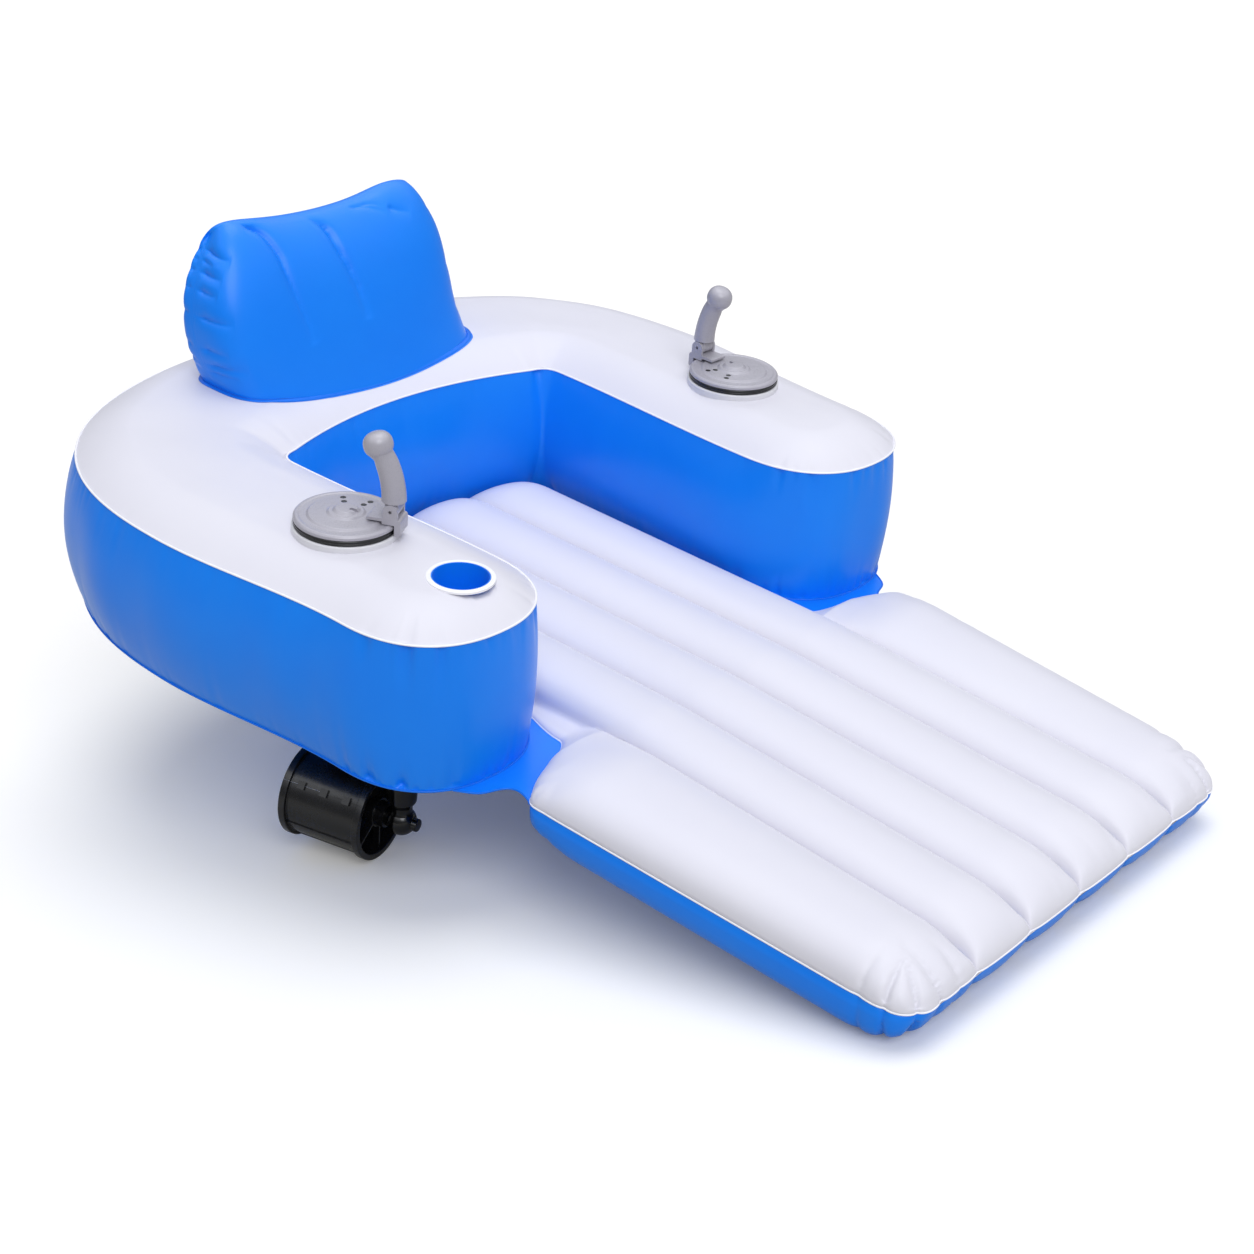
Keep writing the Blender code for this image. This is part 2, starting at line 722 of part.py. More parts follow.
def make_cup_holder(materials, clearance):
    top = plateau()
    outer = CUP_RADIUS + CUP_WALL
    floor = top - CUP_DEPTH
    profile = [(0.0, floor), (CUP_RADIUS, floor), (CUP_RADIUS, top), (outer, top)]
    profile += [(outer, floor - CUP_WALL), (0.0, floor - CUP_WALL)]
    pocket = add_object("cup_pocket", turned("cup_pocket", profile), materials["blue"])
    pocket.location = (CUP_X, CUP_Y, 0.0)
    inner = outer + SEAT_GAP
    ring_outer = inner + CUP_RING_WIDTH
    rise = top + CUP_RING_HEIGHT
    round_off = CUP_RING_HEIGHT / 3
    profile = [(inner, top - CUP_RING_HEIGHT), (inner, rise - round_off)]
    profile += [(inner + round_off, rise), (ring_outer - round_off, rise)]
    profile += [(ring_outer, rise - round_off), (ring_outer, top - CUP_RING_HEIGHT)]
    ring = add_object("cup_ring", turned("cup_ring", profile), materials["white"])
    ring.location = (CUP_X, CUP_Y, 0.0)
    boolean(ring, clearance)


# Drive unit: pieces fixed to the float


def flange_top():
    return plateau() + FLANGE_THICKNESS


def cover_bottom():
    return flange_top() + SEAT_GAP + GASKET_THICKNESS + RUNNING_GAP


def make_arm_fittings(side, origin, materials, clearance):
    """Sleeve, top flange with its collar, gasket and the clamp ring under the arm."""
    hole = sleeve_hole_radius()
    outer = hole - SEAT_GAP
    inner = outer - SLEEVE_WALL
    top = plateau()
    profile = [(inner, top), (outer, top), (outer, underside()), (inner, underside())]
    add_object("sleeve_" + side, turned("sleeve", profile), materials["blue"], origin)

    bore = TUBE_RADIUS + RUNNING_GAP
    collar = collar_radius()
    under = top - FLANGE_SINK
    face = flange_top()
    edge = FLANGE_THICKNESS / 4
    profile = [(bore, face), (FLANGE_RADIUS - edge, face), (FLANGE_RADIUS, face - edge)]
    profile += [(FLANGE_RADIUS, under), (hole + SEAT_GAP, under), (hole + SEAT_GAP, top + SEAT_GAP)]
    profile += [(collar, top + SEAT_GAP), (collar, top - COLLAR_DEPTH), (bore, top - COLLAR_DEPTH)]
    flange = turned("flange", profile)
    flange = add_object("mount_flange_" + side, flange, materials["pale"], origin)
    boolean(flange, clearance)

    seat = face + SEAT_GAP
    rim = COVER_RADIUS + SKIRT_GAP / 2
    profile = [(bore + COLLAR_WALL, seat), (rim, seat), (rim, seat + GASKET_THICKNESS)]
    profile += [(bore + COLLAR_WALL, seat + GASKET_THICKNESS)]
    add_object("gasket_" + side, turned("gasket", profile), materials["rubber"], origin)

    high = underside() - SEAT_GAP
    low = high - CLAMP_RING_THICKNESS
    spigot = inner - SEAT_GAP
    profile = [(bore, high + COLLAR_DEPTH), (spigot, high + COLLAR_DEPTH), (spigot, high)]
    profile += [(CLAMP_RING_RADIUS, high), (CLAMP_RING_RADIUS, low), (bore, low)]
    add_object("clamp_ring_" + side, turned("clamp", profile), materials["black"], origin)


# Drive unit: pieces that steer


def cover_levels():
    """The heights of the cover's bottom, rim, step and dish, and of its boss."""
    bottom = cover_bottom()
    rim = bottom + COVER_RIM_HEIGHT
    step = rim + COVER_STEP_HEIGHT
    dish = step + COVER_STEP_HEIGHT
    return bottom, rim, step, dish, dish + BOSS_HEIGHT


def make_cover(side, drive, materials):
    """Dished disc in rings about a notched boss, with screw recesses and a lug over the gasket."""
    bottom, rim, step, dish, boss = cover_levels()
    edge = COVER_EDGE
    profile = [(0.0, boss), (BOSS_RADIUS, boss), (BOSS_RADIUS + edge, dish)]
    profile += [(DISH_RADIUS, dish), (DISH_RADIUS + RING_SLOPE, step)]
    profile += [(STEP_RADIUS, step), (STEP_RADIUS + RING_SLOPE, rim)]
    profile += [(COVER_RADIUS - edge, rim), (COVER_RADIUS, rim - edge), (COVER_RADIUS, bottom)]
    profile += [(0.0, bottom)]
    cover = turned("cover", profile, COVER_ROUND)
    cover = add_object("cover_" + side, cover, materials["grey"], drive)
    notch_low = (-BOSS_NOTCH / 2, -BOSS_RADIUS, dish + edge / 2)
    cuts = [block("notch", notch_low, (BOSS_NOTCH / 2, 0.0, boss + edge))]
    for degrees in SCREW_ANGLES:
        angle = HANDLE_ANGLE - math.pi / 2 + math.radians(degrees)
        for radius in SCREW_RINGS:
            at = (radius * math.cos(angle), radius * math.sin(angle), 0.0)
            hole = plug("screw_hole", SCREW_RADIUS, step - SCREW_DEPTH, boss, TINY_ROUND)
            cuts.append(place(hole, at))
    boolean(cover, tool("cover_cuts_" + side, combine("cover_cuts", cuts), drive))
    outer = COVER_RADIUS + LUG_REACH
    low = flange_top() + RUNNING_GAP
    inner = COVER_RADIUS - LUG_REACH
    face = COVER_RADIUS + SKIRT_GAP
    half = LUG_WIDTH / 2
    hook = [(inner, rim - edge), (outer, rim - edge), (outer, low), (face, low)]
    hook += [(face, bottom + edge / 2), (inner, bottom + edge / 2)]
    shape = prism("lug", hook, -half, half)
    shape.transform(Matrix.Rotation(math.pi / 2, 4, "X"))
    place(shape, turn=HANDLE_ANGLE - math.pi / 2 + LUG_ANGLE)
    boolean(cover, tool("lug_" + side, shape, drive), "UNION")


def make_tube(side, drive, materials):
    """Battery tube, with a shelf under its cells, and the cells, switch and base that go in it."""
    top = cover_bottom() - SEAT_GAP
    inner = TUBE_RADIUS - TUBE_WALL
    low = underside() - SEAT_GAP - CLAMP_RING_THICKNESS - RUNNING_GAP
    stack = 2 * CELL_LENGTH + 3 * SHELF_THICKNESS
    shelf = top - SWITCH_HEIGHT - 3 * SEAT_GAP - stack - SHELF_THICKNESS
    profile = [(0.0, shelf), (inner, shelf), (inner, top), (TUBE_RADIUS, top), (TUBE_RADIUS, low)]
    profile += [(inner, low), (inner, shelf - SHELF_THICKNESS), (0.0, shelf - SHELF_THICKNESS)]
    add_object("battery_tube_" + side, turned("tube", profile), materials["black"], drive)

    floor = shelf + SEAT_GAP
    disc = inner - RUNNING_GAP
    low_face = floor + SHELF_THICKNESS
    high_face = floor + stack - SHELF_THICKNESS
    profile = [(0.0, floor), (disc, floor), (disc, low_face), (CELL_CORE, low_face)]
    profile += [(CELL_CORE, high_face), (disc, high_face), (disc, floor + stack)]
    profile += [(0.0, floor + stack)]
    pack = turned("pack", profile, SMALL_ROUND)
    pack = add_object("battery_pack_" + side, pack, materials["steel"], drive)
    reach = 2.0 * CELL_RADIUS / math.sqrt(3.0) + SEAT_GAP
    cells = []
    for turn in range(3):
        angle = math.tau * turn / 3
        low_end = floor + SHELF_THICKNESS / 2
        high_end = floor + stack - SHELF_THICKNESS / 2
        waist = (low_end + high_end) / 2
        cell = [(0.0, low_end), (CELL_RADIUS, low_end), (CELL_RADIUS, waist - SHELF_THICKNESS / 2)]
        cell += [(CELL_WAIST, waist), (CELL_RADIUS, waist + SHELF_THICKNESS / 2)]
        cell += [(CELL_RADIUS, high_end), (0.0, high_end)]
        shape = turned("cell", cell, TINY_ROUND)
        cells.append(place(shape, (reach * math.cos(angle), reach * math.sin(angle), 0.0)))
    boolean(pack, tool("cells_" + side, combine("cells", cells), drive), "UNION")

    low_corner = (-SWITCH_LENGTH / 2, -SWITCH_WIDTH / 2, top - SWITCH_HEIGHT)
    high_corner = (SWITCH_LENGTH / 2, SWITCH_WIDTH / 2, top)
    switch = block("throttle_switch", low_corner, high_corner)
    add_object("throttle_switch_" + side, switch, materials["black"], drive)


def make_base(side, drive, materials):
    """Plate under the arm that closes the tube and reaches forward to the pylon."""
    high = underside() - SEAT_GAP - CLAMP_RING_THICKNESS - RUNNING_GAP - SEAT_GAP
    low = high - BASE_THICKNESS
    outline = []
    arm = PYLON_TOP_RADIUS
    start = math.asin(arm / BASE_RADIUS)
    for step in range(ROUND + 1):
        angle = -math.pi / 2 + start + (math.tau - 2 * start) * step / ROUND
        outline.append((BASE_RADIUS * math.cos(angle), BASE_RADIUS * math.sin(angle)))
    for step in range(TINY_ROUND + 1):
        angle = math.pi + math.pi * step / TINY_ROUND
        outline.append((arm * math.cos(angle), -PYLON_REACH + arm * math.sin(angle)))
    add_object("drive_base_" + side, prism("base", outline, low, high), materials["black"], drive)
    return low


def make_pylon(side, drive, materials, high):
    """Column from the base to the ball elbow that carries the motor pod."""
    top = high - SEAT_GAP
    ball = -THRUST_DEPTH
    neck_top = ball + math.sqrt(BALL_RADIUS**2 - NECK_RADIUS**2) + NECK_LENGTH
    profile = [(0.0, top), (PYLON_TOP_RADIUS, top), (PYLON_FOOT_RADIUS, neck_top + NECK_LENGTH)]
    profile += [(NECK_RADIUS, neck_top), (NECK_RADIUS, neck_top - NECK_LENGTH)]
    start = math.acos(NECK_RADIUS / BALL_RADIUS)
    for step in range(1, BALL_STEPS):
        angle = start - (start + math.pi / 2) * step / BALL_STEPS
        profile.append((BALL_RADIUS * math.cos(angle), ball + BALL_RADIUS * math.sin(angle)))
    profile.append((0.0, ball - BALL_RADIUS))
    pylon = place(turned("pylon", profile, SMALL_ROUND), (0.0, -PYLON_REACH, 0.0))
    pylon = add_object("pylon_" + side, pylon, materials["black"], drive)
    reach = PYLON_REACH - pod_front() - SEAT_GAP
    stub = plug("stub", NECK_RADIUS, -reach, 0.0, TINY_ROUND)
    cap = plug("nose_cap", NOSE_CAP_RADIUS, 0.0, BALL_RADIUS + NOSE_CAP_LENGTH, TINY_ROUND)
    for name, shape in (("stub", stub), ("nose_cap", cap)):
        place(shape, (0.0, -PYLON_REACH, ball), math.pi / 2, "X")
        boolean(pylon, tool(name + "_" + side, shape, drive), "UNION")


# Thrust axis: +Z of its empty points to the front of the duct


def pod_front():
    """How far the pod's front face lies before the steering axis."""
    return PYLON_REACH - BALL_RADIUS - SEAT_GAP


def make_pod(side, thrust, materials):
    """Motor housing, open behind, with the motor and the shaft seal in it."""
    front = pod_front()
    rear = front - POD_LENGTH
    bore = POD_RADIUS - POD_WALL
    wall = front - POD_WALL
    profile = [(0.0, front), (POD_RADIUS, front), (POD_RADIUS, rear), (bore, rear)]
    profile += [(bore, wall), (0.0, wall)]
    add_object("motor_pod_" + side, turned("pod", profile, SMALL_ROUND), materials["black"], thrust)
    body = bore - SEAT_GAP
    high = wall - SEAT_GAP
    low = high - MOTOR_LENGTH
    bearing = body / 2
    lip = SEAL_THICKNESS / 2
    profile = [(0.0, high), (body, high), (body, low), (bearing, low)]
    profile += [(bearing, low - lip), (0.0, low - lip)]
    add_object("motor_" + side, turned("motor", profile, SMALL_ROUND), materials["steel"], thrust)
    seal_low = rear + SEAT_GAP
    seal_high = seal_low + SEAL_THICKNESS
    hole = SHAFT_RADIUS + SEAL_GAP
    profile = [(hole, seal_high), (body, seal_high), (body, seal_low), (hole, seal_low)]
    add_object("shaft_seal_" + side, turned("seal", profile, SMALL_ROUND), materials["rubber"], thrust)
    return low - lip, rear


def blade_width(share):
    """The blade's chord from root (0) to tip (1), as a share of its widest."""
    return 0.5 + 0.5 * math.sin(math.pi * (0.1 + 0.75 * share))


def make_propeller(side, thrust, materials, shaft_top, pod_rear):
    """Shaft, hub and three blades of constant pitch, as one moulding on its shaft."""
    hub_top = pod_rear - 2 * RUNNING_GAP
    hub_low = hub_top - HUB_LENGTH
    nose = HUB_RADIUS / 2
    end = shaft_top - SEAT_GAP
    profile = [(0.0, end), (SHAFT_RADIUS, end), (SHAFT_RADIUS, hub_top), (HUB_RADIUS, hub_top)]
    profile += [(HUB_RADIUS, hub_low + nose), (nose, hub_low), (0.0, hub_low)]
    propeller = turned("propeller", profile, SMALL_ROUND)
    propeller = add_object("propeller_" + side, propeller, materials["black"], thrust)
    tip = DUCT_RADIUS - DUCT_WALL - BLADE_TIP_GAP
    middle = (hub_top + hub_low + nose) / 2
    for blade in range(BLADE_COUNT):
        rings = []
        for step in range(BLADE_STEPS + 1):
            share = step / BLADE_STEPS
            radius = BLADE_ROOT + (tip - BLADE_ROOT) * share
            chord = BLADE_CHORD * blade_width(share)
            twist = math.atan2(BLADE_PITCH / math.tau, max(radius, HUB_RADIUS))
            thick = BLADE_THICKNESS * (1.0 - BLADE_TIP_THINNING * share)
            ring = []
            for along, high in ((-0.5, 0.0), (0.0, 0.5), (0.5, 0.0), (0.0, -0.5)):
                across = along * chord * math.cos(twist) - high * thick * math.sin(twist)
                up = along * chord * math.sin(twist) + high * thick * math.cos(twist)
                ring.append((radius, across, middle + up))
            rings.append(ring)
        shape = place(loft("blade", rings), turn=math.tau * blade / BLADE_COUNT)
        boolean(propeller, tool(f"blade_{blade}_{side}", shape, thrust), "UNION")


def duct_arc(name, start, sweep, steps):
    """Part of the duct's wall with its two raised rims, from one angle round to another."""
    half = DUCT_LENGTH / 2
    inner = DUCT_RADIUS - DUCT_WALL
    rim = half - DUCT_RIM_WIDTH
    section = [(inner, -half), (DUCT_RIM_RADIUS, -half), (DUCT_RIM_RADIUS, -rim)]
    section += [(DUCT_RADIUS, -rim), (DUCT_RADIUS, rim)]
    section += [(DUCT_RIM_RADIUS, rim), (DUCT_RIM_RADIUS, half), (inner, half)]
    rings = []
    for step in range(steps + 1):
        angle = start + sweep * step / steps
        rings.append([(r * math.cos(angle), r * math.sin(angle), z) for r, z in section])
    return loft(name, rings)


def make_duct(side, thrust, materials):
    """Lower shell on the pod's stator, and the saddle clipped over its open top.

    In the frame of the thrust axis, the top of the duct is at +Y.
    """
    gap = SEAT_GAP / DUCT_RADIUS
    saddle_start = math.pi / 2 - SADDLE_ANGLE / 2
    start = math.pi / 2 + SADDLE_ANGLE / 2 + gap
    lower = duct_arc("duct", start, math.tau - SADDLE_ANGLE - 2 * gap, DUCT_STEPS)
    duct = add_object("duct_" + side, lower, materials["black"], thrust)
    rim = DUCT_LENGTH / 2 - DUCT_RIM_WIDTH
    collar = POD_RADIUS + SEAT_GAP
    stator_high = DUCT_LENGTH / 2 - DUCT_RIM_WIDTH / 2
    stator_low = stator_high - STATOR_LENGTH
    ring = [(collar, stator_high), (collar + STATOR_COLLAR, stator_high)]
    ring += [(collar + STATOR_COLLAR, stator_low), (collar, stator_low)]
    ring = turned("stator_ring", ring, SMALL_ROUND)
    boolean(duct, tool("stator_ring_" + side, ring, thrust), "UNION")
    for degrees in SPOKE_ANGLES:
        low = (collar + STATOR_COLLAR / 2, -SPOKE_THICKNESS / 2, stator_low + SEAT_GAP)
        high = (DUCT_RADIUS - DUCT_WALL / 2, SPOKE_THICKNESS / 2, stator_high - SEAT_GAP)
        spoke = place(block("spoke", low, high), turn=math.radians(degrees))
        boolean(duct, tool(f"spoke_{degrees:.0f}_{side}", spoke, thrust), "UNION")
    for degrees in RIB_ANGLES:
        low = (DUCT_RADIUS - DUCT_WALL / 2, -RIB_WIDTH / 2, -rim - DUCT_RIM_WIDTH / 3)
        high = (DUCT_RADIUS + RIB_HEIGHT, RIB_WIDTH / 2, rim + DUCT_RIM_WIDTH / 3)
        rib = place(block("rib", low, high), turn=math.radians(degrees))
        boolean(duct, tool(f"rib_{degrees:.0f}_{side}", rib, thrust), "UNION")
    arc = duct_arc("saddle", saddle_start, SADDLE_ANGLE, SADDLE_STEPS)
    saddle = add_object("duct_saddle_" + side, arc, materials["black"], thrust)
    face = DUCT_RADIUS + SEAT_GAP
    for end, turn, inward in (("a", 0.0, 1.0), ("b", SADDLE_ANGLE, -1.0)):
        root_span = sorted((inward * HOOK_OVERLAP / 2, inward * HOOK_OVERLAP))
        for hook in range(HOOK_COUNT):
            middle = (hook - (HOOK_COUNT - 1) / 2) * 2 * rim / HOOK_COUNT
            front = middle - HOOK_LENGTH / 2
            back = middle + HOOK_LENGTH / 2
            clip = block(
                "hook", (face, -HOOK_OVERLAP, front), (face + HOOK_THICKNESS, HOOK_OVERLAP, back)
            )
            root_low = (DUCT_RADIUS - DUCT_WALL / 2, root_span[0], front)
            root_high = (face + HOOK_THICKNESS / 2, root_span[1], back)
            root = block("hook_root", root_low, root_high)
            for part, shape in (("hook", clip), ("root", root)):
                place(shape, turn=saddle_start + turn)
                boolean(saddle, tool(f"{part}_{end}{hook}_{side}", shape, thrust), "UNION")


# Handle


def side_on(mesh):
    """Stands a prism of (distance out, height) points on edge, so that it points to -Y."""
    mesh.transform(Matrix.Rotation(-math.pi / 2, 4, "Z") @ Matrix.Rotation(math.pi / 2, 4, "X"))
    return mesh


def cross_rod(name, radius, half, steps=TINY_ROUND):
    """A solid cylinder on X, to the same length on both sides."""
    return place(plug(name, radius, -half, half, steps), turn=math.pi / 2, axis="Y")


def bracket_half():
    return BARREL_WIDTH / 2 + SIDE_PLAY + EAR_THICKNESS


def pin_hole():
    return cross_rod("pin_hole", PIN_RADIUS + SEAL_GAP, bracket_half() + BORE_OVERRUN)


def make_bracket(side, mount, materials, pivot):
    """Bracket screwed over the cover's rim, with an ear on each side of the lever, and its pin."""
    bottom, rim, step, dish, boss = cover_levels()
    low = flange_top() + RUNNING_GAP
    outer = PIVOT_RADIUS + FOOT_LENGTH
    skirt = COVER_RADIUS + SKIRT_GAP
    ring_edge = STEP_RADIUS + RING_SLOPE + SEAT_GAP
    deck = pivot[2] - BARREL_RADIUS - SIDE_PLAY
    half = bracket_half()
    inner = BRACKET_START
    profile = [(inner, dish + SEAT_GAP), (inner, deck), (outer, deck), (outer, low), (skirt, low)]
    profile += [(skirt, rim + SEAT_GAP), (ring_edge, rim + SEAT_GAP)]
    profile += [(ring_edge, dish + SEAT_GAP)]
    shape = side_on(prism("bracket", profile, -half, half))
    bracket = add_object("handle_bracket_" + side, shape, materials["grey"], mount)
    base = -BARREL_RADIUS - SIDE_PLAY - EAR_THICKNESS / 2
    outline = [(-BARREL_RADIUS, base)]
    for turn in range(EAR_STEPS + 1):
        angle = math.pi - math.pi * turn / EAR_STEPS
        outline.append((BARREL_RADIUS * math.cos(angle), BARREL_RADIUS * math.sin(angle)))
    outline.append((BARREL_RADIUS, base))
    for name, near in (("ear_a", -half), ("ear_b", half - EAR_THICKNESS)):
        ear = side_on(prism(name, outline, near, near + EAR_THICKNESS))
        boolean(bracket, tool(name + "_" + side, place(ear, pivot), mount), "UNION")
    boolean(bracket, tool("bracket_bore_" + side, place(pin_hole(), pivot), mount))
    pin = cross_rod("pin", PIN_RADIUS, half)
    pin = add_object("pivot_pin_" + side, pin, materials["steel"], mount)
    pin.location = pivot


def make_handle(side, mount, materials, pivot):
    """Lever that leans back over its pivot, with a ball knob."""
    lever = empty("handle_pivot_" + side, mount, pivot)
    barrel = cross_rod("barrel", BARREL_RADIUS, BARREL_WIDTH / 2, SMALL_ROUND)
    handle = add_object("handle_" + side, barrel, materials["grey"], lever)
    foot = BARREL_RADIUS + SIDE_PLAY
    rings = []
    for share in COLUMN_LEVELS:
        radius = COLUMN_BASE_RADIUS + (COLUMN_TOP_RADIUS - COLUMN_BASE_RADIUS) * share
        y = COLUMN_LEAN * share**2
        slope = math.atan2(2 * COLUMN_LEAN * share, COLUMN_HEIGHT - foot)
        z = foot + (COLUMN_HEIGHT - foot) * share
        ring = []
        for turn in range(SMALL_ROUND):
            angle = math.tau * turn / SMALL_ROUND
            across = radius * math.sin(angle)
            back = y + across * math.cos(slope)
            ring.append((radius * math.cos(angle), back, z - across * math.sin(slope)))
        rings.append(ring)
    column = loft("column", rings)
    inset = BARREL_WIDTH / 2 - SIDE_PLAY
    top = foot + TONGUE_OVERLAP
    tongue = block("tongue", (-inset, -TONGUE_DEPTH, 0.0), (inset, TONGUE_DEPTH, top))
    profile = [(0.0, KNOB_RADIUS * KNOB_FLATNESS)]
    for turn in range(1, KNOB_STEPS):
        angle = math.pi / 2 - math.pi * turn / KNOB_STEPS
        height = KNOB_RADIUS * KNOB_FLATNESS * math.sin(angle)
        profile.append((KNOB_RADIUS * math.cos(angle), height))
    profile.append((0.0, -KNOB_RADIUS * KNOB_FLATNESS))
    knob = place(turned("knob", profile, SMALL_ROUND), (0.0, COLUMN_LEAN, COLUMN_HEIGHT))
    for name, shape in (("column", column), ("tongue", tongue), ("knob", knob)):
        boolean(handle, tool(name + "_" + side, shape, lever), "UNION")
    boolean(handle, tool("lever_bore_" + side, pin_hole(), lever))


# Valves: +Z of a valve's empty points out of the wall


def make_valve(name, chamber, location, rotation, materials):
    """A push-in valve in a flat seat, with the plug that closes it. location is on the surface."""
    frame = empty("valve_axis_" + name, None, location, rotation)
    frame.location = Vector(location) - frame.rotation_euler.to_matrix() @ Vector((0, 0, VALVE_SINK))
    reach = VALVE_SINK + VALVE_FLANGE_RADIUS
    seat = plug("seat", VALVE_FLANGE_RADIUS + SEAT_GAP, 0.0, reach, SMALL_ROUND)
    boolean(chamber, tool("valve_seat_" + name, seat, frame))
    low = SEAT_GAP
    face = low + VALVE_FLANGE_THICKNESS
    mouth = face + VALVE_LENGTH
    profile = [(0.0, face), (VALVE_BORE, face), (VALVE_BORE, mouth), (VALVE_RADIUS, mouth)]
    profile += [(VALVE_RADIUS, face), (VALVE_FLANGE_RADIUS, face), (VALVE_FLANGE_RADIUS, low)]
    profile += [(0.0, low)]
    add_object("valve_" + name, turned("valve", profile, TINY_ROUND), materials["clear"], frame)
    stem = VALVE_BORE - SEAT_GAP
    tip = mouth - VALVE_CAP_STEM
    rest = mouth + SEAT_GAP
    top = rest + VALVE_CAP_THICKNESS
    profile = [(0.0, top), (VALVE_CAP_RADIUS, top), (VALVE_CAP_RADIUS, rest), (stem, rest)]
    profile += [(stem, tip), (0.0, tip)]
    cap = turned("valve_cap", profile, TINY_ROUND)
    add_object("valve_cap_" + name, cap, materials["blue"], frame)


def make_valves(materials, walls, mattress, backrest):
    wall = (0.0, FLOAT_REAR_Y + WALL_BULGE, FLOAT_HEIGHT / 2)
    make_valve("float", walls, wall, (-math.pi / 2, 0.0, 0.0), materials)
    under_y = MATTRESS_FOOT_Y + MATTRESS_VALVE_SETBACK
    under = (CHANNEL_WIDTH / 2, under_y, seam_level(under_y) - MATTRESS_UNDER_CROWN)
    make_valve("mattress", mattress, under, (math.pi, 0.0, 0.0), materials)
    behind = backrest_point(1.0 / BACKREST_CHAMBERS, BACKREST_LEVELS[2], 1)
    make_valve("backrest", backrest, behind, (-math.pi / 2, 0.0, 0.0), materials)


def main():
    clear_scene()
    materials = {
        "white": plastic("white_vinyl", (0.80, 0.80, 0.92), 0.45),
        "blue": plastic("blue_vinyl", (0.010, 0.190, 0.860), 0.40),
        "grey": plastic("grey_plastic", (0.42, 0.42, 0.45), 0.42),
        "pale": plastic("white_plastic", (0.70, 0.70, 0.76), 0.42),
        "black": plastic("black_plastic", (0.012, 0.012, 0.014), 0.35),
        "rubber": plastic("black_rubber", (0.010, 0.010, 0.010), 0.60),
        "steel": plastic("steel", (0.60, 0.60, 0.62), 0.30, 1.0),
        "clear": plastic("valve_vinyl", (0.70, 0.74, 0.80), 0.30),
    }
    walls = make_float(materials)
    clearance = make_top_clearance()
    mattress = make_mattress(materials)
    make_gussets(materials)
    backrest = make_backrest(materials, clearance)
    make_cup_holder(materials, clearance)
    for side, sign in (("right", -1.0), ("left", 1.0)):
        origin = empty("arm_" + side, None, (sign * DRIVE_SPACING / 2, 0.0, 0.0))
        make_arm_fittings(side, origin, materials, clearance)
        drive = empty("drive_" + side, origin, rotation=(0.0, 0.0, STEERING_ANGLES[side]))
        make_cover(side, drive, materials)
        make_tube(side, drive, materials)
        base = make_base(side, drive, materials)
        make_pylon(side, drive, materials, base)
        turn = (math.pi / 2, 0.0, 0.0)
        thrust = empty("thrust_" + side, drive, (0.0, 0.0, -THRUST_DEPTH), turn)
        shaft_top, pod_rear = make_pod(side, thrust, materials)
        make_propeller(side, thrust, materials, shaft_top, pod_rear)
        make_duct(side, thrust, materials)
        mount = empty("handle_mount_" + side, drive, rotation=(0.0, 0.0, HANDLE_ANGLE))
        pivot = (0.0, -PIVOT_RADIUS, cover_levels()[-1] + PIVOT_HEIGHT)
        make_bracket(side, mount, materials, pivot)
        make_handle(side, mount, materials, pivot)
    make_valves(materials, walls, mattress, backrest)


main()
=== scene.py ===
# %% [markdown]
# # An inflatable pool chair with two steered drives
# The real chair is sheets of vinyl film, welded edge to edge and filled with air, with two hard
# plastic drive units clamped through its arms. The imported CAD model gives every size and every
# moving body. This script dresses it: it builds each air chamber as a full-looking skin, and each
# moulding with the rounded edges that a mould leaves. Everything is in metres, in the CAD's frame.

# %% The frame and the tools
import json
import math

import bmesh
import bpy
import numpy as np
from mathutils import Matrix, Vector
from mathutils.geometry import delaunay_2d_cdt


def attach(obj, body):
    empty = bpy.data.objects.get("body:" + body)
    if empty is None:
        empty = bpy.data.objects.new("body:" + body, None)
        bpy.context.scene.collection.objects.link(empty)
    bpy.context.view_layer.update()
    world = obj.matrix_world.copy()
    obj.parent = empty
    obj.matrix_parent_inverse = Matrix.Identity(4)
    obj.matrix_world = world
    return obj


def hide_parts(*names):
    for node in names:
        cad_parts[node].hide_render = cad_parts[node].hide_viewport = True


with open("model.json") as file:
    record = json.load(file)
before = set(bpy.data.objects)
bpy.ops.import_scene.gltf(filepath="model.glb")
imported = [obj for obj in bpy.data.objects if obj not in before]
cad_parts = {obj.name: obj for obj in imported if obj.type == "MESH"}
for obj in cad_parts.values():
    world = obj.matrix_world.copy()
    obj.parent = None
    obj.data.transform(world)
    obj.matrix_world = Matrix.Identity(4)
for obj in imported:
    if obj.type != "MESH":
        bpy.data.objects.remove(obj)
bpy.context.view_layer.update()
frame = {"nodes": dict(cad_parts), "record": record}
SIDES = {"right": (-1, math.radians(16.0)), "left": (1, math.radians(166.0))}

# %% [markdown]
# ## Sums on node sockets
# Shader and geometry trees are both made of nodes, and a formula in them soon becomes dozens of
# Math nodes. The small class below wraps one output socket, so that a formula can be written as
# plain Python. Every other node comes from one function, which sets the settings before the values,
# because some sockets only exist once a setting has been made.

# %% A class for sockets and a function for nodes


class Link:
    """One output socket. Sums and products of it add Math nodes to its tree."""

    def __init__(self, tree, socket):
        self.tree = tree
        self.socket = socket

    def math(self, operation, *values):
        return node(self.tree, "ShaderNodeMath", {"operation": operation}, dict(enumerate(values)))

    def __add__(self, other):
        return self.math("ADD", self, other)

    def __sub__(self, other):
        return self.math("SUBTRACT", self, other)

    def __rsub__(self, other):
        return self.math("SUBTRACT", other, self)

    def __mul__(self, other):
        return self.math("MULTIPLY", self, other)

    def __rtruediv__(self, other):
        return self.math("DIVIDE", other, self)

    def __pow__(self, other):
        return self.math("POWER", self, other)

    __radd__ = __add__


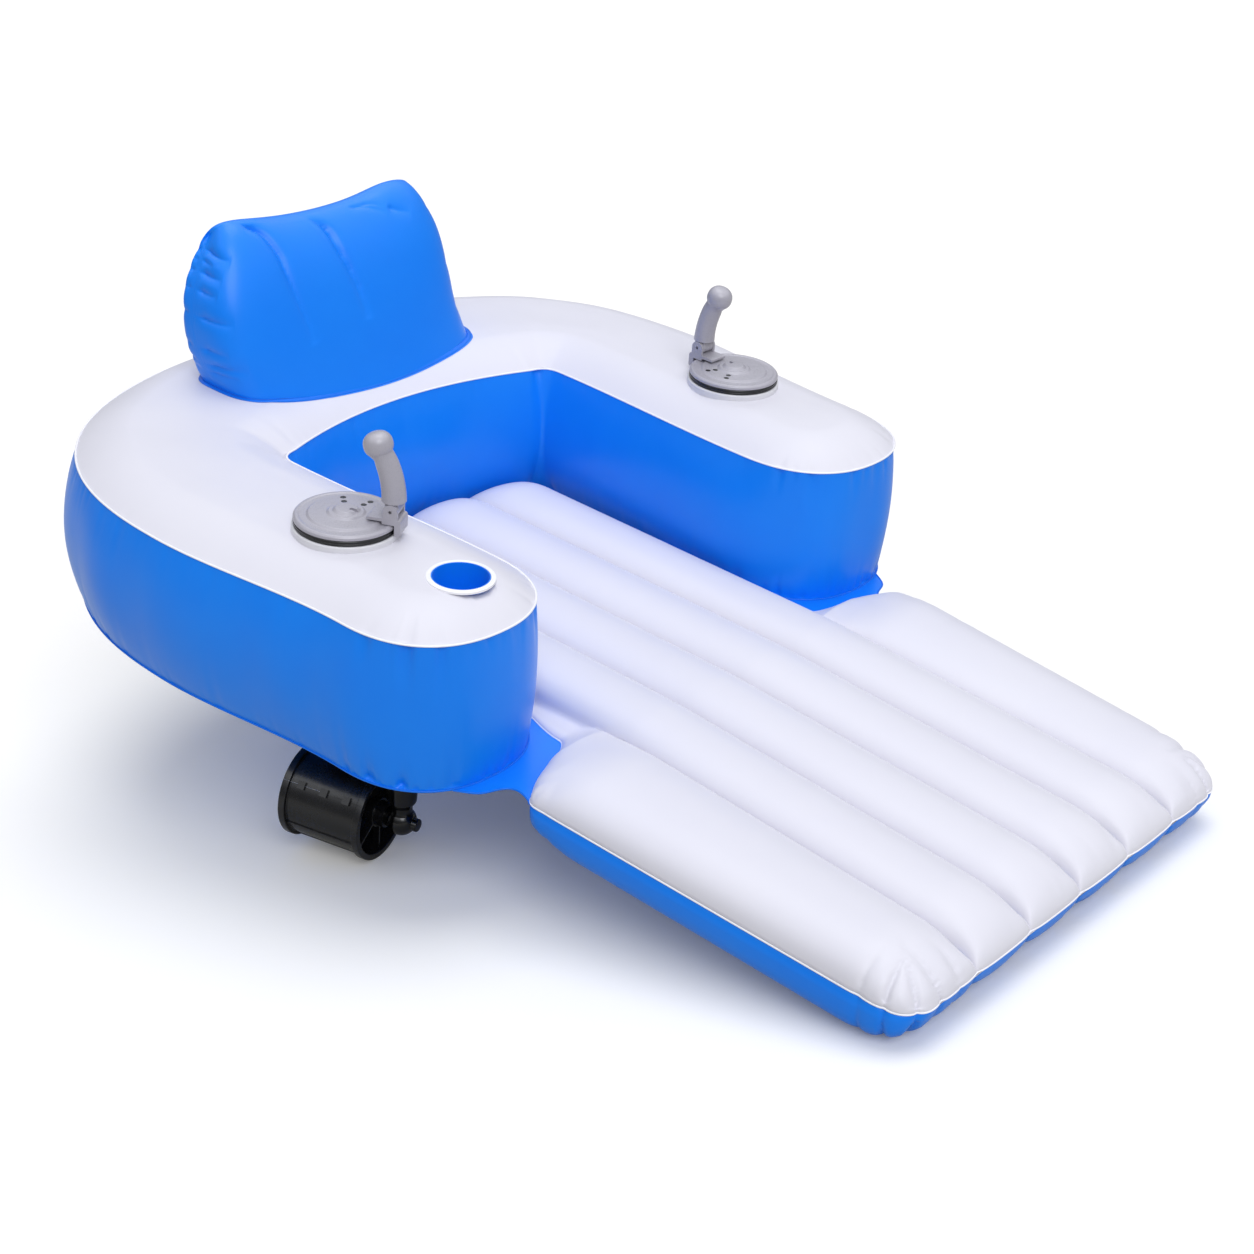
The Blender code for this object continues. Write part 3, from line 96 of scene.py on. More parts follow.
def node(tree, kind, settings=None, values=None, output=0):
    """Adds a node, makes its settings, then gives its sockets values or links."""
    item = tree.nodes.new(kind)
    for key, value in (settings or {}).items():
        setattr(item, key, value)
    for key, value in (values or {}).items():
        if isinstance(value, Link):
            tree.links.new(value.socket, item.inputs[key])
        else:
            item.inputs[key].default_value = value
    return Link(tree, item.outputs[output]) if item.outputs else item


print("sockets can be added, subtracted, multiplied, divided and raised to a power")

# %% [markdown]
# ## Vinyl film
# Pool vinyl is a soft PVC film with a satin face: wide soft highlights, a very fine grain from the
# rollers that pressed it, and a faint unevenness of colour where it is stretched. One function makes
# both colours. The pattern is read from Object coordinates, which every finished piece shares with
# the CAD, so the grain has its real size of about half a millimetre.

# %% Materials for the vinyl and the mouldings


def noise(tree, place, scale, detail=2.0, roughness=0.5):
    values = {"Vector": place, "Scale": scale, "Detail": detail, "Roughness": roughness}
    return node(tree, "ShaderNodeTexNoise", None, values)


def bump(tree, strength, depth, height, **under):
    """A relief of this depth in metres, laid over another where one is given."""
    values = {"Strength": strength, "Distance": depth, "Height": height, **under}
    return node(tree, "ShaderNodeBump", None, values)


def blend_colours(tree, share, first, second):
    values = {"Factor": share, 6: (*first, 1.0), 7: (*second, 1.0)}
    return node(tree, "ShaderNodeMix", {"data_type": "RGBA"}, values, output=2)


def surface(name, constants):
    """A new material: its tree, the Object coordinates and the Principled shader."""
    material = bpy.data.materials.new(name)
    material.use_nodes = True
    tree = material.node_tree
    shader = tree.nodes["Principled BSDF"]
    for key, value in constants.items():
        shader.inputs[key].default_value = value
    place = node(tree, "ShaderNodeTexCoord", output=3)
    return material, tree, place, shader


def wire(tree, shader, base, rough, normal):
    for key, link in {"Base Color": base, "Roughness": rough, "Normal": normal}.items():
        tree.links.new(link.socket, shader.inputs[key])


FILM_WAVE, ROLLER_GRAIN, STEEL_SCRATCH = 0.00025, 0.00003, 0.00002


def vinyl(name, colour, stretched, roughness, gloss, sheen=0.06):
    """Calendered film: colour thins where it is stretched, and its face is faintly uneven."""
    constants = {"Specular IOR Level": gloss, "Coat Weight": 0.04, "Coat Roughness": 0.30}
    constants.update({"Sheen Weight": sheen, "Sheen Roughness": 0.35})
    material, tree, place, shader = surface(name, constants)
    broad = noise(tree, place, 4.0)
    cloud = noise(tree, place, 26.0, 3.0)
    fine = noise(tree, place, 1500.0, 1.0)
    base = blend_colours(tree, (broad * 0.7 + cloud * 0.3 - 0.25) * 1.6, colour, stretched)
    rough = (cloud - 0.5) * 0.10 + (fine - 0.5) * 0.06 + roughness
    low = bump(tree, 0.6, FILM_WAVE, cloud)
    wire(tree, shader, base, rough, bump(tree, 0.5, ROLLER_GRAIN, fine, Normal=low))
    return material


def moulding(name, colour, worn, roughness, grain_scale=700.0, depth=0.00004, uneven=0.16):
    """Moulded plastic or rubber: spark-eroded grain, slight flow marks and handling polish."""
    material, tree, place, shader = surface(name, {})
    flow = noise(tree, place, 30.0, 3.0, 0.6)
    grain = noise(tree, place, grain_scale, 2.0)
    base = blend_colours(tree, (flow - 0.3) * 1.4, colour, worn)
    rough = (flow - 0.5) * uneven + (grain - 0.5) * 0.08 + roughness
    wire(tree, shader, base, rough, bump(tree, 0.6, depth, grain + flow * 0.5))
    return material


def drawn_steel(name, colour, roughness):
    """Drawn or turned steel: fine scratches along the piece."""
    material, tree, place, shader = surface(name, {"Metallic": 1.0})
    stretched = node(tree, "ShaderNodeMapping", None, {"Vector": place, "Scale": (1.0, 1.0, 0.04)})
    scratch = noise(tree, stretched, 2200.0, 2.0)
    cloud = noise(tree, place, 60.0)
    base = blend_colours(tree, scratch, colour, tuple(c * 0.8 for c in colour))
    rough = scratch * 0.15 + cloud * 0.10 + roughness
    wire(tree, shader, base, rough, bump(tree, 0.3, STEEL_SCRATCH, scratch))
    return material


WHITE = vinyl("white_vinyl_film", (0.715, 0.700, 0.765), (0.745, 0.730, 0.785), 0.40, 0.22, 0.08)
BLUE = vinyl("blue_vinyl_film", (0.003, 0.205, 0.880), (0.004, 0.235, 0.910), 0.32, 0.24)
# This lighter white is a painted highlight along the welds and the cup's ring; the raised weld lip
# itself is real.
WELD_WHITE_HIGHLIGHT = vinyl("white_weld_edge", (0.90, 0.89, 0.92), (0.94, 0.93, 0.95), 0.35, 0.35, 0.20)
# This darker blue is painted shade at the lower seam, the backrest's foot band and the web edges; the
# weld lines themselves are real.
WELD_BLUE_SHADE = vinyl("blue_weld_edge", (0.003, 0.145, 0.700), (0.004, 0.175, 0.800), 0.33, 0.18)
GREY = moulding(
    "grey_moulding", (0.385, 0.37, 0.415), (0.40, 0.385, 0.43), 0.28, 900.0, 0.000005, uneven=0.03
)
PALE = moulding("pale_moulding", (0.68, 0.67, 0.70), (0.74, 0.73, 0.76), 0.42)
BLACK = moulding("black_moulding", (0.004, 0.004, 0.005), (0.008, 0.008, 0.009), 0.27, depth=0.00003)
GLOSS = moulding("polished_black_moulding", (0.002, 0.002, 0.002), (0.003, 0.003, 0.004), 0.18)
RUBBER = moulding("black_rubber_face", (0.008, 0.008, 0.008), (0.015, 0.015, 0.015), 0.55, 1500.0)
CLEAR = moulding("milky_valve_vinyl", (0.62, 0.68, 0.76), (0.72, 0.76, 0.82), 0.28)
STEEL = drawn_steel("turned_steel", (0.58, 0.58, 0.60), 0.22)
print(len(bpy.data.materials), "materials")

# %% [markdown]
# ## Meshes from rings
# Most pieces here are skins between rings of points: a wall is a stack of seam-shaped rings, a knob
# is a stack of circles. A shell collects rings and faces, and a mesh comes out closed, with its
# normals outwards.

# %% A shell, a lathe and a way to round a profile


def shown(name, data):
    """A new object in the scene."""
    item = bpy.data.objects.new(name, data)
    bpy.context.scene.collection.objects.link(item)
    return item


def baked_mesh(item):
    """What an object's modifiers make of it, as a plain mesh."""
    graph = bpy.context.evaluated_depsgraph_get()
    return bpy.data.meshes.new_from_object(item.evaluated_get(graph))


class Shell:
    """Points and faces gathered into one mesh."""

    def __init__(self):
        self.points = []
        self.faces = []
        self.size = 0

    def add(self, points):
        """Adds points and gives their numbers."""
        points = np.asarray(points, float).reshape(-1, 3)
        start = self.size
        self.points.append(points)
        self.size += len(points)
        return np.arange(start, self.size)

    def band(self, first, second, closed=True):
        """Quads between two rows of equally many points."""
        after = np.roll(np.arange(len(first)), -1)
        last = len(first) if closed else len(first) - 1
        for k in range(last):
            self.faces.append((first[k], first[after[k]], second[after[k]], second[k]))

    def stack(self, rows, closed=True):
        """Quads between each row and the next."""
        for first, second in zip(rows, rows[1:]):
            self.band(first, second, closed)

    def cover(self, faces):
        self.faces += [tuple(face) for face in faces.tolist()]

    def moved(self, offset):
        for points in self.points:
            points += offset
        return self

    def object(self, name, material, smooth=180.0):
        mesh = bpy.data.meshes.new(name)
        mesh.from_pydata(np.concatenate(self.points).tolist(), [], self.faces)
        return finished(name, mesh, material, smooth)


def finished(name, mesh, material, smooth=180.0, recalculate=True):
    """Merges doubles, turns the faces out, shades smooth up to an angle and adds the object."""
    work = bmesh.new()
    work.from_mesh(mesh)
    bmesh.ops.remove_doubles(work, verts=work.verts, dist=1e-6)
    bmesh.ops.dissolve_degenerate(work, edges=work.edges, dist=1e-7)
    if recalculate:
        bmesh.ops.recalc_face_normals(work, faces=work.faces)
    work.to_mesh(mesh)
    work.free()
    mesh.shade_smooth()
    if smooth < 180.0:
        mesh.set_sharp_from_angle(angle=math.radians(smooth))
    mesh.materials.clear()
    mesh.materials.append(material)
    return shown(name, mesh)


def rounded(profile, radius, closed=True, steps=4):
    """The same outline with its corners rounded, as a mould rounds them."""
    points = [Vector((*point[:2], 0.0)) for point in profile]
    out = []
    for i, here in enumerate(points):
        if not closed and i in (0, len(points) - 1):
            out.append(here.xy[:])
            continue
        before = points[i - 1] - here
        after = points[(i + 1) % len(points)] - here
        size = profile[i][2] if len(profile[i]) > 2 else radius
        angle = before.angle(after)
        cut = min(size / math.tan(angle / 2), before.length * 0.49, after.length * 0.49)
        start = here + before.normalized() * cut
        end = here + after.normalized() * cut
        for step in range(steps + 1):
            t = step / steps
            point = start * (1 - t) ** 2 + here * (2 * t * (1 - t)) + end * t**2
            out.append(point.xy[:])
    return out


def lathe(profile, steps=96, closed=True):
    """A shell turned about Z from a profile of (radius, z)."""
    shell = Shell()
    turn = np.arange(steps) * math.tau / steps
    rings = []
    for radius, z in profile:
        ring = np.stack([radius * np.cos(turn), radius * np.sin(turn), np.full(steps, z)], axis=1)
        rings.append(shell.add(ring))
    shell.stack(rings + rings[:1] if closed else rings)
    return shell


print("lathe and shell ready")

# %% [markdown]
# ## The seams, seen from above
# The float is one welded ring of air with a cavity in its front, so its top and its lower edge follow
# the same closed seam. The seam is sampled finely and evenly here from the same curves as the CAD:
# rounded ends, straight runs and the bowed rear of the cavity. Even spacing matters, because the
# puckers that are added later are waves along this line.

# %% The float's seam
FLOAT_HEIGHT = 0.224
TOP_CROWN = 0.038
UNDER_CROWN = 0.026
CROWN_REACH = 0.100
PLATEAU_INSET = 0.080
PLATEAU = FLOAT_HEIGHT + TOP_CROWN * (1 - (1 - PLATEAU_INSET / CROWN_REACH) ** 2)
UNDERSIDE = -UNDER_CROWN * (1 - (1 - PLATEAU_INSET / CROWN_REACH) ** 2)
HALF_WIDTH, SIDE_TAPER, REAR_Y, REAR_DEPTH = 0.594, 0.036, 0.200, 0.490
NOSE_X, NOSE_HALF, NOSE_Y, NOSE_REACH = 0.415, 0.143, -0.150, 0.150
CAVITY_MOUTH, CAVITY_SPREAD, CAVITY_LENGTH = 0.272, 0.018, 0.423
CORNER_X, CORNER_Y, CORNER_RADIUS, CAVITY_REAR, CAVITY_BOW = 0.260, 0.273, 0.030, 0.303, 0.050
REAR_POWER, NOSE_POWER = 2.0 / 2.45, 2.0 / 2.3
DRIVE_X = 0.420
CUP = (-0.398, -0.205)
CUP_RADIUS = 0.0385
CUP_HOLE = CUP_RADIUS + 0.0018
SLEEVE_HOLE = 0.0526
SEAM_POINTS = 1200


def ease(value):
    value = np.clip(value, 0.0, 1.0)
    return value * value * (3.0 - 2.0 * value)


def float_seam():
    """The closed seam as evenly spaced points, clockwise seen from above."""
    turn = np.linspace(0.0, math.pi / 2, 500)
    rear = [HALF_WIDTH * np.sin(turn) ** REAR_POWER, REAR_Y + REAR_DEPTH * np.cos(turn) ** REAR_POWER]
    along = np.linspace(0.0, 1.0, 300)
    side = [HALF_WIDTH - SIDE_TAPER * ease(along), REAR_Y - (REAR_Y - NOSE_Y) * along]
    turn = np.linspace(0.0, math.pi, 800)
    across = np.sign(np.cos(turn)) * np.abs(np.cos(turn)) ** NOSE_POWER
    nose = [NOSE_X + NOSE_HALF * across, NOSE_Y - NOSE_REACH * np.sin(turn) ** NOSE_POWER]
    inner = [CAVITY_MOUTH + CAVITY_SPREAD * ease(along), NOSE_Y + CAVITY_LENGTH * along]
    turn = np.linspace(0.0, math.pi / 2, 60)
    corner = [CORNER_X + CORNER_RADIUS * np.cos(turn), CORNER_Y + CORNER_RADIUS * np.sin(turn)]
    across = np.linspace(1.0, 0.0, 200)
    bow = [CORNER_X * across, CAVITY_REAR + CAVITY_BOW * (1 - across**2)]
    half = np.concatenate([rear, side, nose, inner, corner, bow], axis=1).T
    return evenly(np.concatenate([half, half[::-1] * (-1, 1)]), SEAM_POINTS)


def evenly(loop, count, closed=True):
    """A loop, or an open line, resampled to evenly spaced points. A loop's kinks are eased."""
    line = np.concatenate([loop, loop[:1]]) if closed else loop
    steps = np.hypot(*np.diff(line, axis=0).T)
    keep = np.concatenate([[True], steps > 1e-7])
    line = line[keep]
    place = np.concatenate([[0.0], np.cumsum(np.hypot(*np.diff(line, axis=0).T))])
    at = np.linspace(0.0, place[-1], count, endpoint=not closed)
    even = np.stack([np.interp(at, place, line[:, k]) for k in range(loop.shape[1])], axis=1)
    for _ in range(2 if closed else 0):
        even = (np.roll(even, 1, axis=0) + 2 * even + np.roll(even, -1, axis=0)) / 4
    return even


def smooth_line(points, count):
    """A smooth line through points, as evenly spaced places."""
    points = np.array(points, dtype=float)
    ghost = np.concatenate([[2 * points[0] - points[1]], points, [2 * points[-1] - points[-2]]])
    t = np.linspace(0.0, 1.0, 12, endpoint=False)[:, None]
    parts = []
    for a, b, c, d in zip(ghost, ghost[1:], ghost[2:], ghost[3:]):
        bend, twist = 2 * a - 5 * b + 4 * c - d, 3 * b - a - 3 * c + d
        parts.append(0.5 * (2 * b + (c - a) * t + bend * t**2 + twist * t**3))
    return evenly(np.concatenate([*parts, points[-1:]]), count, closed=False)


def outward(loop):
    """Unit normals of a clockwise loop, and how sharply it bends, in 1/m."""
    step = np.roll(loop, -1, axis=0) - np.roll(loop, 1, axis=0)
    length = np.hypot(*step.T)
    tangent = step / length[:, None]
    turn = np.roll(tangent, -1, axis=0) - np.roll(tangent, 1, axis=0)
    normal = np.stack([-tangent[:, 1], tangent[:, 0]], axis=1)
    return normal, -(turn * normal).sum(axis=1) / length


def loop_length(loop):
    return float(np.hypot(*(np.roll(loop, -1, axis=0) - loop).T).sum())


seam = float_seam()
seam_normal, seam_bend = outward(seam)
seam_length = loop_length(seam)
print(f"the float's seam is {seam_length:.3f} m round")

# %% [markdown]
# ## Puckers
# When a flat sheet is blown up, its edge has to shorten wherever the seam curves, and the spare film
# gathers in small puckers that stand across the weld and die out within a few centimetres. Random
# waves of three widths do this here: the finer ones stay close to the seam and the broad ones reach
# further. Only the inward half of each wave is kept, because air holds the film out between tucks.

# %% Waves along a seam


def ripples(count, length, wavelength, seed):
    """Smooth random numbers round a closed line, with a spread of 1."""
    random = np.random.default_rng(seed)
    wave = np.fft.rfft(random.standard_normal(count))
    middle = length / wavelength
    wave *= np.exp(-(((np.arange(len(wave)) - middle) / (0.4 * middle)) ** 2))
    line = np.fft.irfft(wave, count)
    return line / line.std()


PUCKERS = ((0.011, 0.006, 0.35), (0.022, 0.014, 0.70), (0.052, 0.036, 1.00))


def tucks(count, length, seed):
    """For each width of pucker: how deep it is at each point, how far it reaches and its share."""
    rows = []
    for k, (wavelength, reach, share) in enumerate(PUCKERS):
        depth = np.clip(ripples(count, length, wavelength, seed + k) - 0.35, 0.0, 2.2)
        spread = 1.0 + 0.35 * ripples(count, length, 3 * wavelength, seed + 10 + k)
        rows.append((depth * share, reach * np.clip(spread, 0.4, 1.8)))
    return rows


def tuck_depth(rows, index, distance):
    """How far the film is drawn in at this distance from the seam, for a pucker of depth 1."""
    total = 0.0
    for depth, reach in rows:
        total = total + depth[index] * np.exp(-((distance / reach[index]) ** 1.4))
    return total


def nearest(points, loop):
    """The nearest point of a loop to each point, and how far it is."""
    index = np.empty(len(points), int)
    for start in range(0, len(points), 2000):
        part = points[start : start + 2000]
        gap = ((part[:, None, :] - loop[None, :, :]) ** 2).sum(axis=2)
        index[start : start + 2000] = gap.argmin(axis=1)
    before, here, after = loop[index - 1], loop[index], loop[(index + 1) % len(loop)]
    best = np.hypot(*(points - here).T)
    for other in (before, after):
        edge = other - here
        share = np.clip(((points - here) * edge).sum(axis=1) / (edge**2).sum(axis=1), 0.0, 1.0)
        best = np.minimum(best, np.hypot(*(points - here - edge * share[:, None]).T))
    return index, best


def inside(points, loop):
    """Which points lie in a closed loop."""
    crossed = np.zeros(len(points), bool)
    for start in range(0, len(points), 4000):
        x, y = points[start : start + 4000].T[:, :, None]
        (x0, y0), (x1, y1) = loop.T, np.roll(loop, -1, axis=0).T
        spans = (y0 > y) != (y1 > y)
        with np.errstate(divide="ignore", invalid="ignore"):
            hits = spans & (x < (x1 - x0) * (y - y0) / (y1 - y0) + x0)
        crossed[start : start + 4000] = hits.sum(axis=1) % 2 == 1
    return crossed


def fill(loops, spacing):
    """Triangles that fill the first loop and leave out the others, with even points between."""
    outer = loops[0]
    low, high = outer.min(axis=0), outer.max(axis=0)
    ys = np.arange(low[1], high[1], spacing * math.sqrt(0.75))
    grid = []
    for k, y in enumerate(ys):
        xs = np.arange(low[0] + spacing / 2 * (k % 2), high[0], spacing)
        grid.append(np.stack([xs, np.full(len(xs), y)], axis=1))
    grid = np.concatenate(grid)
    grid = grid[inside(grid, outer)]
    for hole in loops[1:]:
        grid = grid[~inside(grid, hole)]
    border = np.concatenate(loops)
    _, gap = nearest(grid, border)
    grid = grid[gap > 0.55 * spacing]
    points = np.concatenate([border, grid])
    edges, start = [], 0
    for loop in loops:
        count = len(loop)
        edges += [(start + k, start + (k + 1) % count) for k in range(count)]
        start += count
    verts = [Vector(point) for point in points.tolist()]
    found = delaunay_2d_cdt(verts, edges, [], 0, 1e-9, True)
    place = np.array([v[:] for v in found[0]])
    order = np.array([ids[0] if ids else -1 for ids in found[3]])
    faces = np.array(found[2])
    middle = place[faces].mean(axis=1)
    good = inside(middle, outer)
    for hole in loops[1:]:
        good &= ~inside(middle, hole)
    return points, order[faces[good]]


print("tucks, nearest points and filling ready")

# %% [markdown]
# ## The float's white top
# The top sheet is held down at its seam and blown up between, so it rises quickly at the edge and then
# flattens. Its height depends only on how far a point is from the nearest seam. On top of that come
# what the fittings do to it: it dips where a flange is clamped on it and round the cup's ring, and
# short folds run out from the cavity's rear corners.

# %% The height of the top
float_tucks = tucks(SEAM_POINTS, seam_length, seed=3)
bend_share = ease(np.abs(seam_bend) / 8.0)
for _ in range(30):
    bend_share = (np.roll(bend_share, 1) + 2 * bend_share + np.roll(bend_share, -1)) / 4
seam_pull = 0.0003 + 0.0017 * bend_share
FOLDS = [
    ((0.283, 0.300), (0.345, 0.392), 0.0035, 0.010),
    ((0.287, 0.290), (0.392, 0.330), 0.0022, 0.012),
    ((0.250, 0.318), (0.268, 0.400), 0.0016, 0.010),
]
FOLDS += [((-a[0], a[1]), (-b[0], b[1]), depth * 0.9, wide) for a, b, depth, wide in FOLDS]
FLANGE_RADIUS, RING_RADIUS = 0.0755, 0.047


def fold_depth(points, folds):
    """Short creases: each is deepest at its start and dies out at its end."""
    total = np.zeros(len(points))
    for start, end, depth, width in folds:
        start, run = np.array(start), np.array(end) - np.array(start)
        along = ((points - start) @ run) / (run @ run)
        aside = np.abs((points - start) @ np.array([-run[1], run[0]])) / np.hypot(*run)
        shape = np.exp(-((aside / width) ** 1.3)) * (1 - ease(along)) * ease(along * 4 + 1)
        total += depth * np.where(along > -0.25, shape, 0.0)
    return total


def top_height(points):
    """Height of the white top at points (x, y) inside the seam."""
    index, gap = nearest(points, seam)
    height = FLOAT_HEIGHT + TOP_CROWN * (1 - (1 - np.minimum(gap, PLATEAU_INSET) / CROWN_REACH) ** 2)
    over = np.clip((gap - PLATEAU_INSET) / 0.04, 0.0, 1.0)
    height = height + 0.0012 * ease(over)
    height -= tuck_depth(float_tucks, index, gap * 1.6) * seam_pull[index] * 0.6 * ease(gap / 0.003)
    height -= fold_depth(points, FOLDS)
    for sign in (-1, 1):
        radius = np.hypot(points[:, 0] - sign * DRIVE_X, points[:, 1])
        height -= 0.0022 * np.exp(-np.clip(radius - FLANGE_RADIUS, 0.0, 1.0) / 0.014)
    radius = np.hypot(points[:, 0] - CUP[0], points[:, 1] - CUP[1])
    height -= 0.0016 * np.exp(-np.clip(radius - RING_RADIUS, 0.0, 1.0) / 0.010)
    wide = np.sin(points[:, 0] * 31.0 + 1.0) * np.sin(points[:, 1] * 27.0 + 0.4)
    return height + 0.0007 * wide * ease(gap / 0.05)


def circle(centre, radius, count=64):
    turn = -np.arange(count) * math.tau / count
    return np.stack([centre[0] + radius * np.cos(turn), centre[1] + radius * np.sin(turn)], axis=1)


sample = np.array([(0.0, 0.55), (0.415, -0.1), (0.59, 0.2)])
print("top heights", [round(float(z), 4) for z in top_height(sample)])

# %% [markdown]
# ## Building the two float skins
# Both skins are closed shells. Near the seam they are made of offset rings, which follow every
# pucker. Further in, where an offset ring would cross itself, an even field of triangles takes over.

# %% The white top and the blue skin
TOP_INSETS = (0.0, 0.0012, 0.003, 0.006, 0.010, 0.015, 0.021, 0.029, 0.038)
UNDER_INSETS = (0.0, 0.004, 0.009, 0.016, 0.026, 0.040)
WALL_BULGE = 0.023
WALL_ROWS = 34
TOP_SPACING, UNDER_SPACING, HIDDEN_SPACING = 0.0085, 0.014, 0.035
CUP_WELL = PLATEAU - 0.1021
GAP = 0.0003


def with_height(points, height):
    return np.concatenate([points, np.broadcast_to(height, (len(points),))[:, None]], axis=1)


def patch(shell, loops, rings, spacing, height):
    """Fills between rings that the shell already has. height is a function of the points."""
    points, faces = fill(loops, spacing)
    known = np.concatenate(rings)
    fresh = shell.add(with_height(points[len(known) :], height(points[len(known) :])))
    number = np.concatenate([known, fresh])
    shell.cover(number[faces])


def float_top():
    shell = Shell()
    rings = [shell.add(with_height(seam, FLOAT_HEIGHT))]
    for inset in TOP_INSETS[1:]:
        line = seam - seam_normal * inset
        rings.append(shell.add(with_height(line, top_height(line))))
    shell.stack(rings)
    spots = [((DRIVE_X, 0.0), SLEEVE_HOLE), ((-DRIVE_X, 0.0), SLEEVE_HOLE), (CUP, CUP_HOLE)]
    holes = [circle(centre, radius) for centre, radius in spots]
    lips = [shell.add(with_height(hole, top_height(hole))) for hole in holes]
    field = seam - seam_normal * TOP_INSETS[-1]
    patch(shell, [field, *holes], [rings[-1], *lips], TOP_SPACING, top_height)
    floor = FLOAT_HEIGHT - GAP
    feet = [shell.add(with_height(hole, floor)) for hole in holes]
    for lip, foot in zip(lips, feet):
        shell.band(lip, foot)
    base = shell.add(with_height(seam, floor + GAP / 2))
    shell.band(rings[0], base)
    patch(shell, [seam, *holes], [base, *feet], HIDDEN_SPACING, lambda p: floor)
    return shell.object("float_top_sheet", WHITE)


def wall_ring(share, tucked):
    """One level of the wall, between the lower seam (share 0) and the upper (1)."""
    at_nose = ease((-0.12 - seam[:, 1]) / 0.12)
    bulge = WALL_BULGE * np.sin(math.pi * share) ** 0.85 * (1 - 0.70 * at_nose)
    below, above = share * FLOAT_HEIGHT, (1 - share) * FLOAT_HEIGHT
    everyone = np.arange(SEAM_POINTS)
    pull = tuck_depth(float_tucks, everyone, above) * seam_pull * 1.5 * min(above / 0.004, 1.0)
    pull += tuck_depth(tucked, everyone, below) * seam_pull * 2.2 * min(below / 0.004, 1.0)
    sway = 0.0010 * ripples(SEAM_POINTS, seam_length, 0.16, 77) * math.sin(math.pi * share)
    return with_height(seam + seam_normal * (bulge - pull + sway)[:, None], share * FLOAT_HEIGHT)


def float_skin():
    shell = Shell()
    under_tucks = tucks(SEAM_POINTS, seam_length, seed=21)
    rows = (1 - np.cos(np.linspace(0.0, math.pi, WALL_ROWS))) / 2
    rings = []
    for inset in reversed(UNDER_INSETS[1:]):
        line = seam - seam_normal * inset
        drop = UNDER_CROWN * (1 - (1 - inset / CROWN_REACH) ** 2)
        pull = tuck_depth(under_tucks, np.arange(SEAM_POINTS), inset) * seam_pull * 1.5
        rings.append(shell.add(with_height(line, np.minimum(pull - drop, 0.0))))
    for share in rows:
        ring = wall_ring(share, under_tucks)
        ring[:, 2] -= GAP * share
        rings.append(shell.add(ring))
    shell.stack(rings)
    sleeves = [circle((sign * DRIVE_X, 0.0), SLEEVE_HOLE) for sign in (-1, 1)]
    pocket = circle(CUP, CUP_HOLE)

    def underneath(points):
        _, gap = nearest(points, seam)
        return -UNDER_CROWN * (1 - (1 - np.minimum(gap, PLATEAU_INSET) / CROWN_REACH) ** 2)

    lower = [shell.add(with_height(hole, underneath(hole))) for hole in sleeves]
    field = seam - seam_normal * UNDER_INSETS[-1]
    patch(shell, [field, *sleeves], [rings[0], *lower], UNDER_SPACING, underneath)
    ceiling = FLOAT_HEIGHT - 2 * GAP
    upper = [shell.add(with_height(hole, ceiling)) for hole in (*sleeves, pocket)]
    patch(shell, [seam, *sleeves, pocket], [rings[-1], *upper], HIDDEN_SPACING, lambda p: ceiling)
    for high, low in zip(upper, lower):
        shell.band(high, low)
    well = shell.add(with_height(pocket, CUP_WELL))
    shell.band(upper[-1], well)
    shell.faces.append(tuple(well))
    return shell.object("float_side_sheet", BLUE)


float_top_sheet = float_top()
float_side_sheet = float_skin()
for piece in (float_top_sheet, float_side_sheet):
    print(piece.name, len(piece.data.polygons), "faces")

# %% [markdown]
# ## Weld beads
# Where two sheets are welded, the heated edge shows as a thin, slightly raised line. Its colour is
# painted light: the brighter white round the white panels is a painted highlight, and the darker blue
# below is painted shade. The bead follows a path, so Geometry Nodes make it. The tree turns the seam's
# edges into a curve and sweeps a small round section along it. The result is taken as a plain mesh,
# because the modifier would otherwise stay live in the export.

# %% A bead along a path


def tree_of(name, inputs):
    """A geometry tree with named inputs, and the links of its input node by name."""
    tree = bpy.data.node_groups.new(name, "GeometryNodeTree")
    tree.interface.new_socket("Geometry", in_out="INPUT", socket_type="NodeSocketGeometry")
    tree.interface.new_socket("Geometry", in_out="OUTPUT", socket_type="NodeSocketGeometry")
    for label, kind in inputs.items():
        tree.interface.new_socket(label, in_out="INPUT", socket_type="NodeSocket" + kind)
    entry = tree.nodes.new("NodeGroupInput")
    return tree, {socket.name: Link(tree, socket) for socket in entry.outputs if socket.name}


def close_tree(tree, geometry, material):
    """Ends a tree in Realize Instances and Set Material."""
    real = node(tree, "GeometryNodeRealizeInstances", None, {"Geometry": geometry})
    dressed = node(tree, "GeometryNodeSetMaterial", None, {"Geometry": real, "Material": material})
    leave = tree.nodes.new("NodeGroupOutput")
    tree.links.new(dressed.socket, leave.inputs[0])


def grown(item, tree, values, name, material, smooth=180.0):
    """Runs a tree on an object and gives the result as a plain mesh object."""
    modifier = item.modifiers.new("grow", "NODES")
    modifier.node_group = tree
    names = {s.name: s.identifier for s in tree.interface.items_tree if s.in_out == "INPUT"}
    for label, value in {**values, "Material": material}.items():
        modifier[names[label]] = value
    mesh = baked_mesh(item)
    item.modifiers.remove(modifier)
    bpy.data.objects.remove(item)
    mesh.name = name
    return finished(name, mesh, material, smooth)


def path_object(points, closed=True):
    count = len(points)
    last = count if closed else count - 1
    mesh = bpy.data.meshes.new("path")
    mesh.from_pydata([tuple(p) for p in points], [(k, (k + 1) % count) for k in range(last)], [])
    return shown("path", mesh)


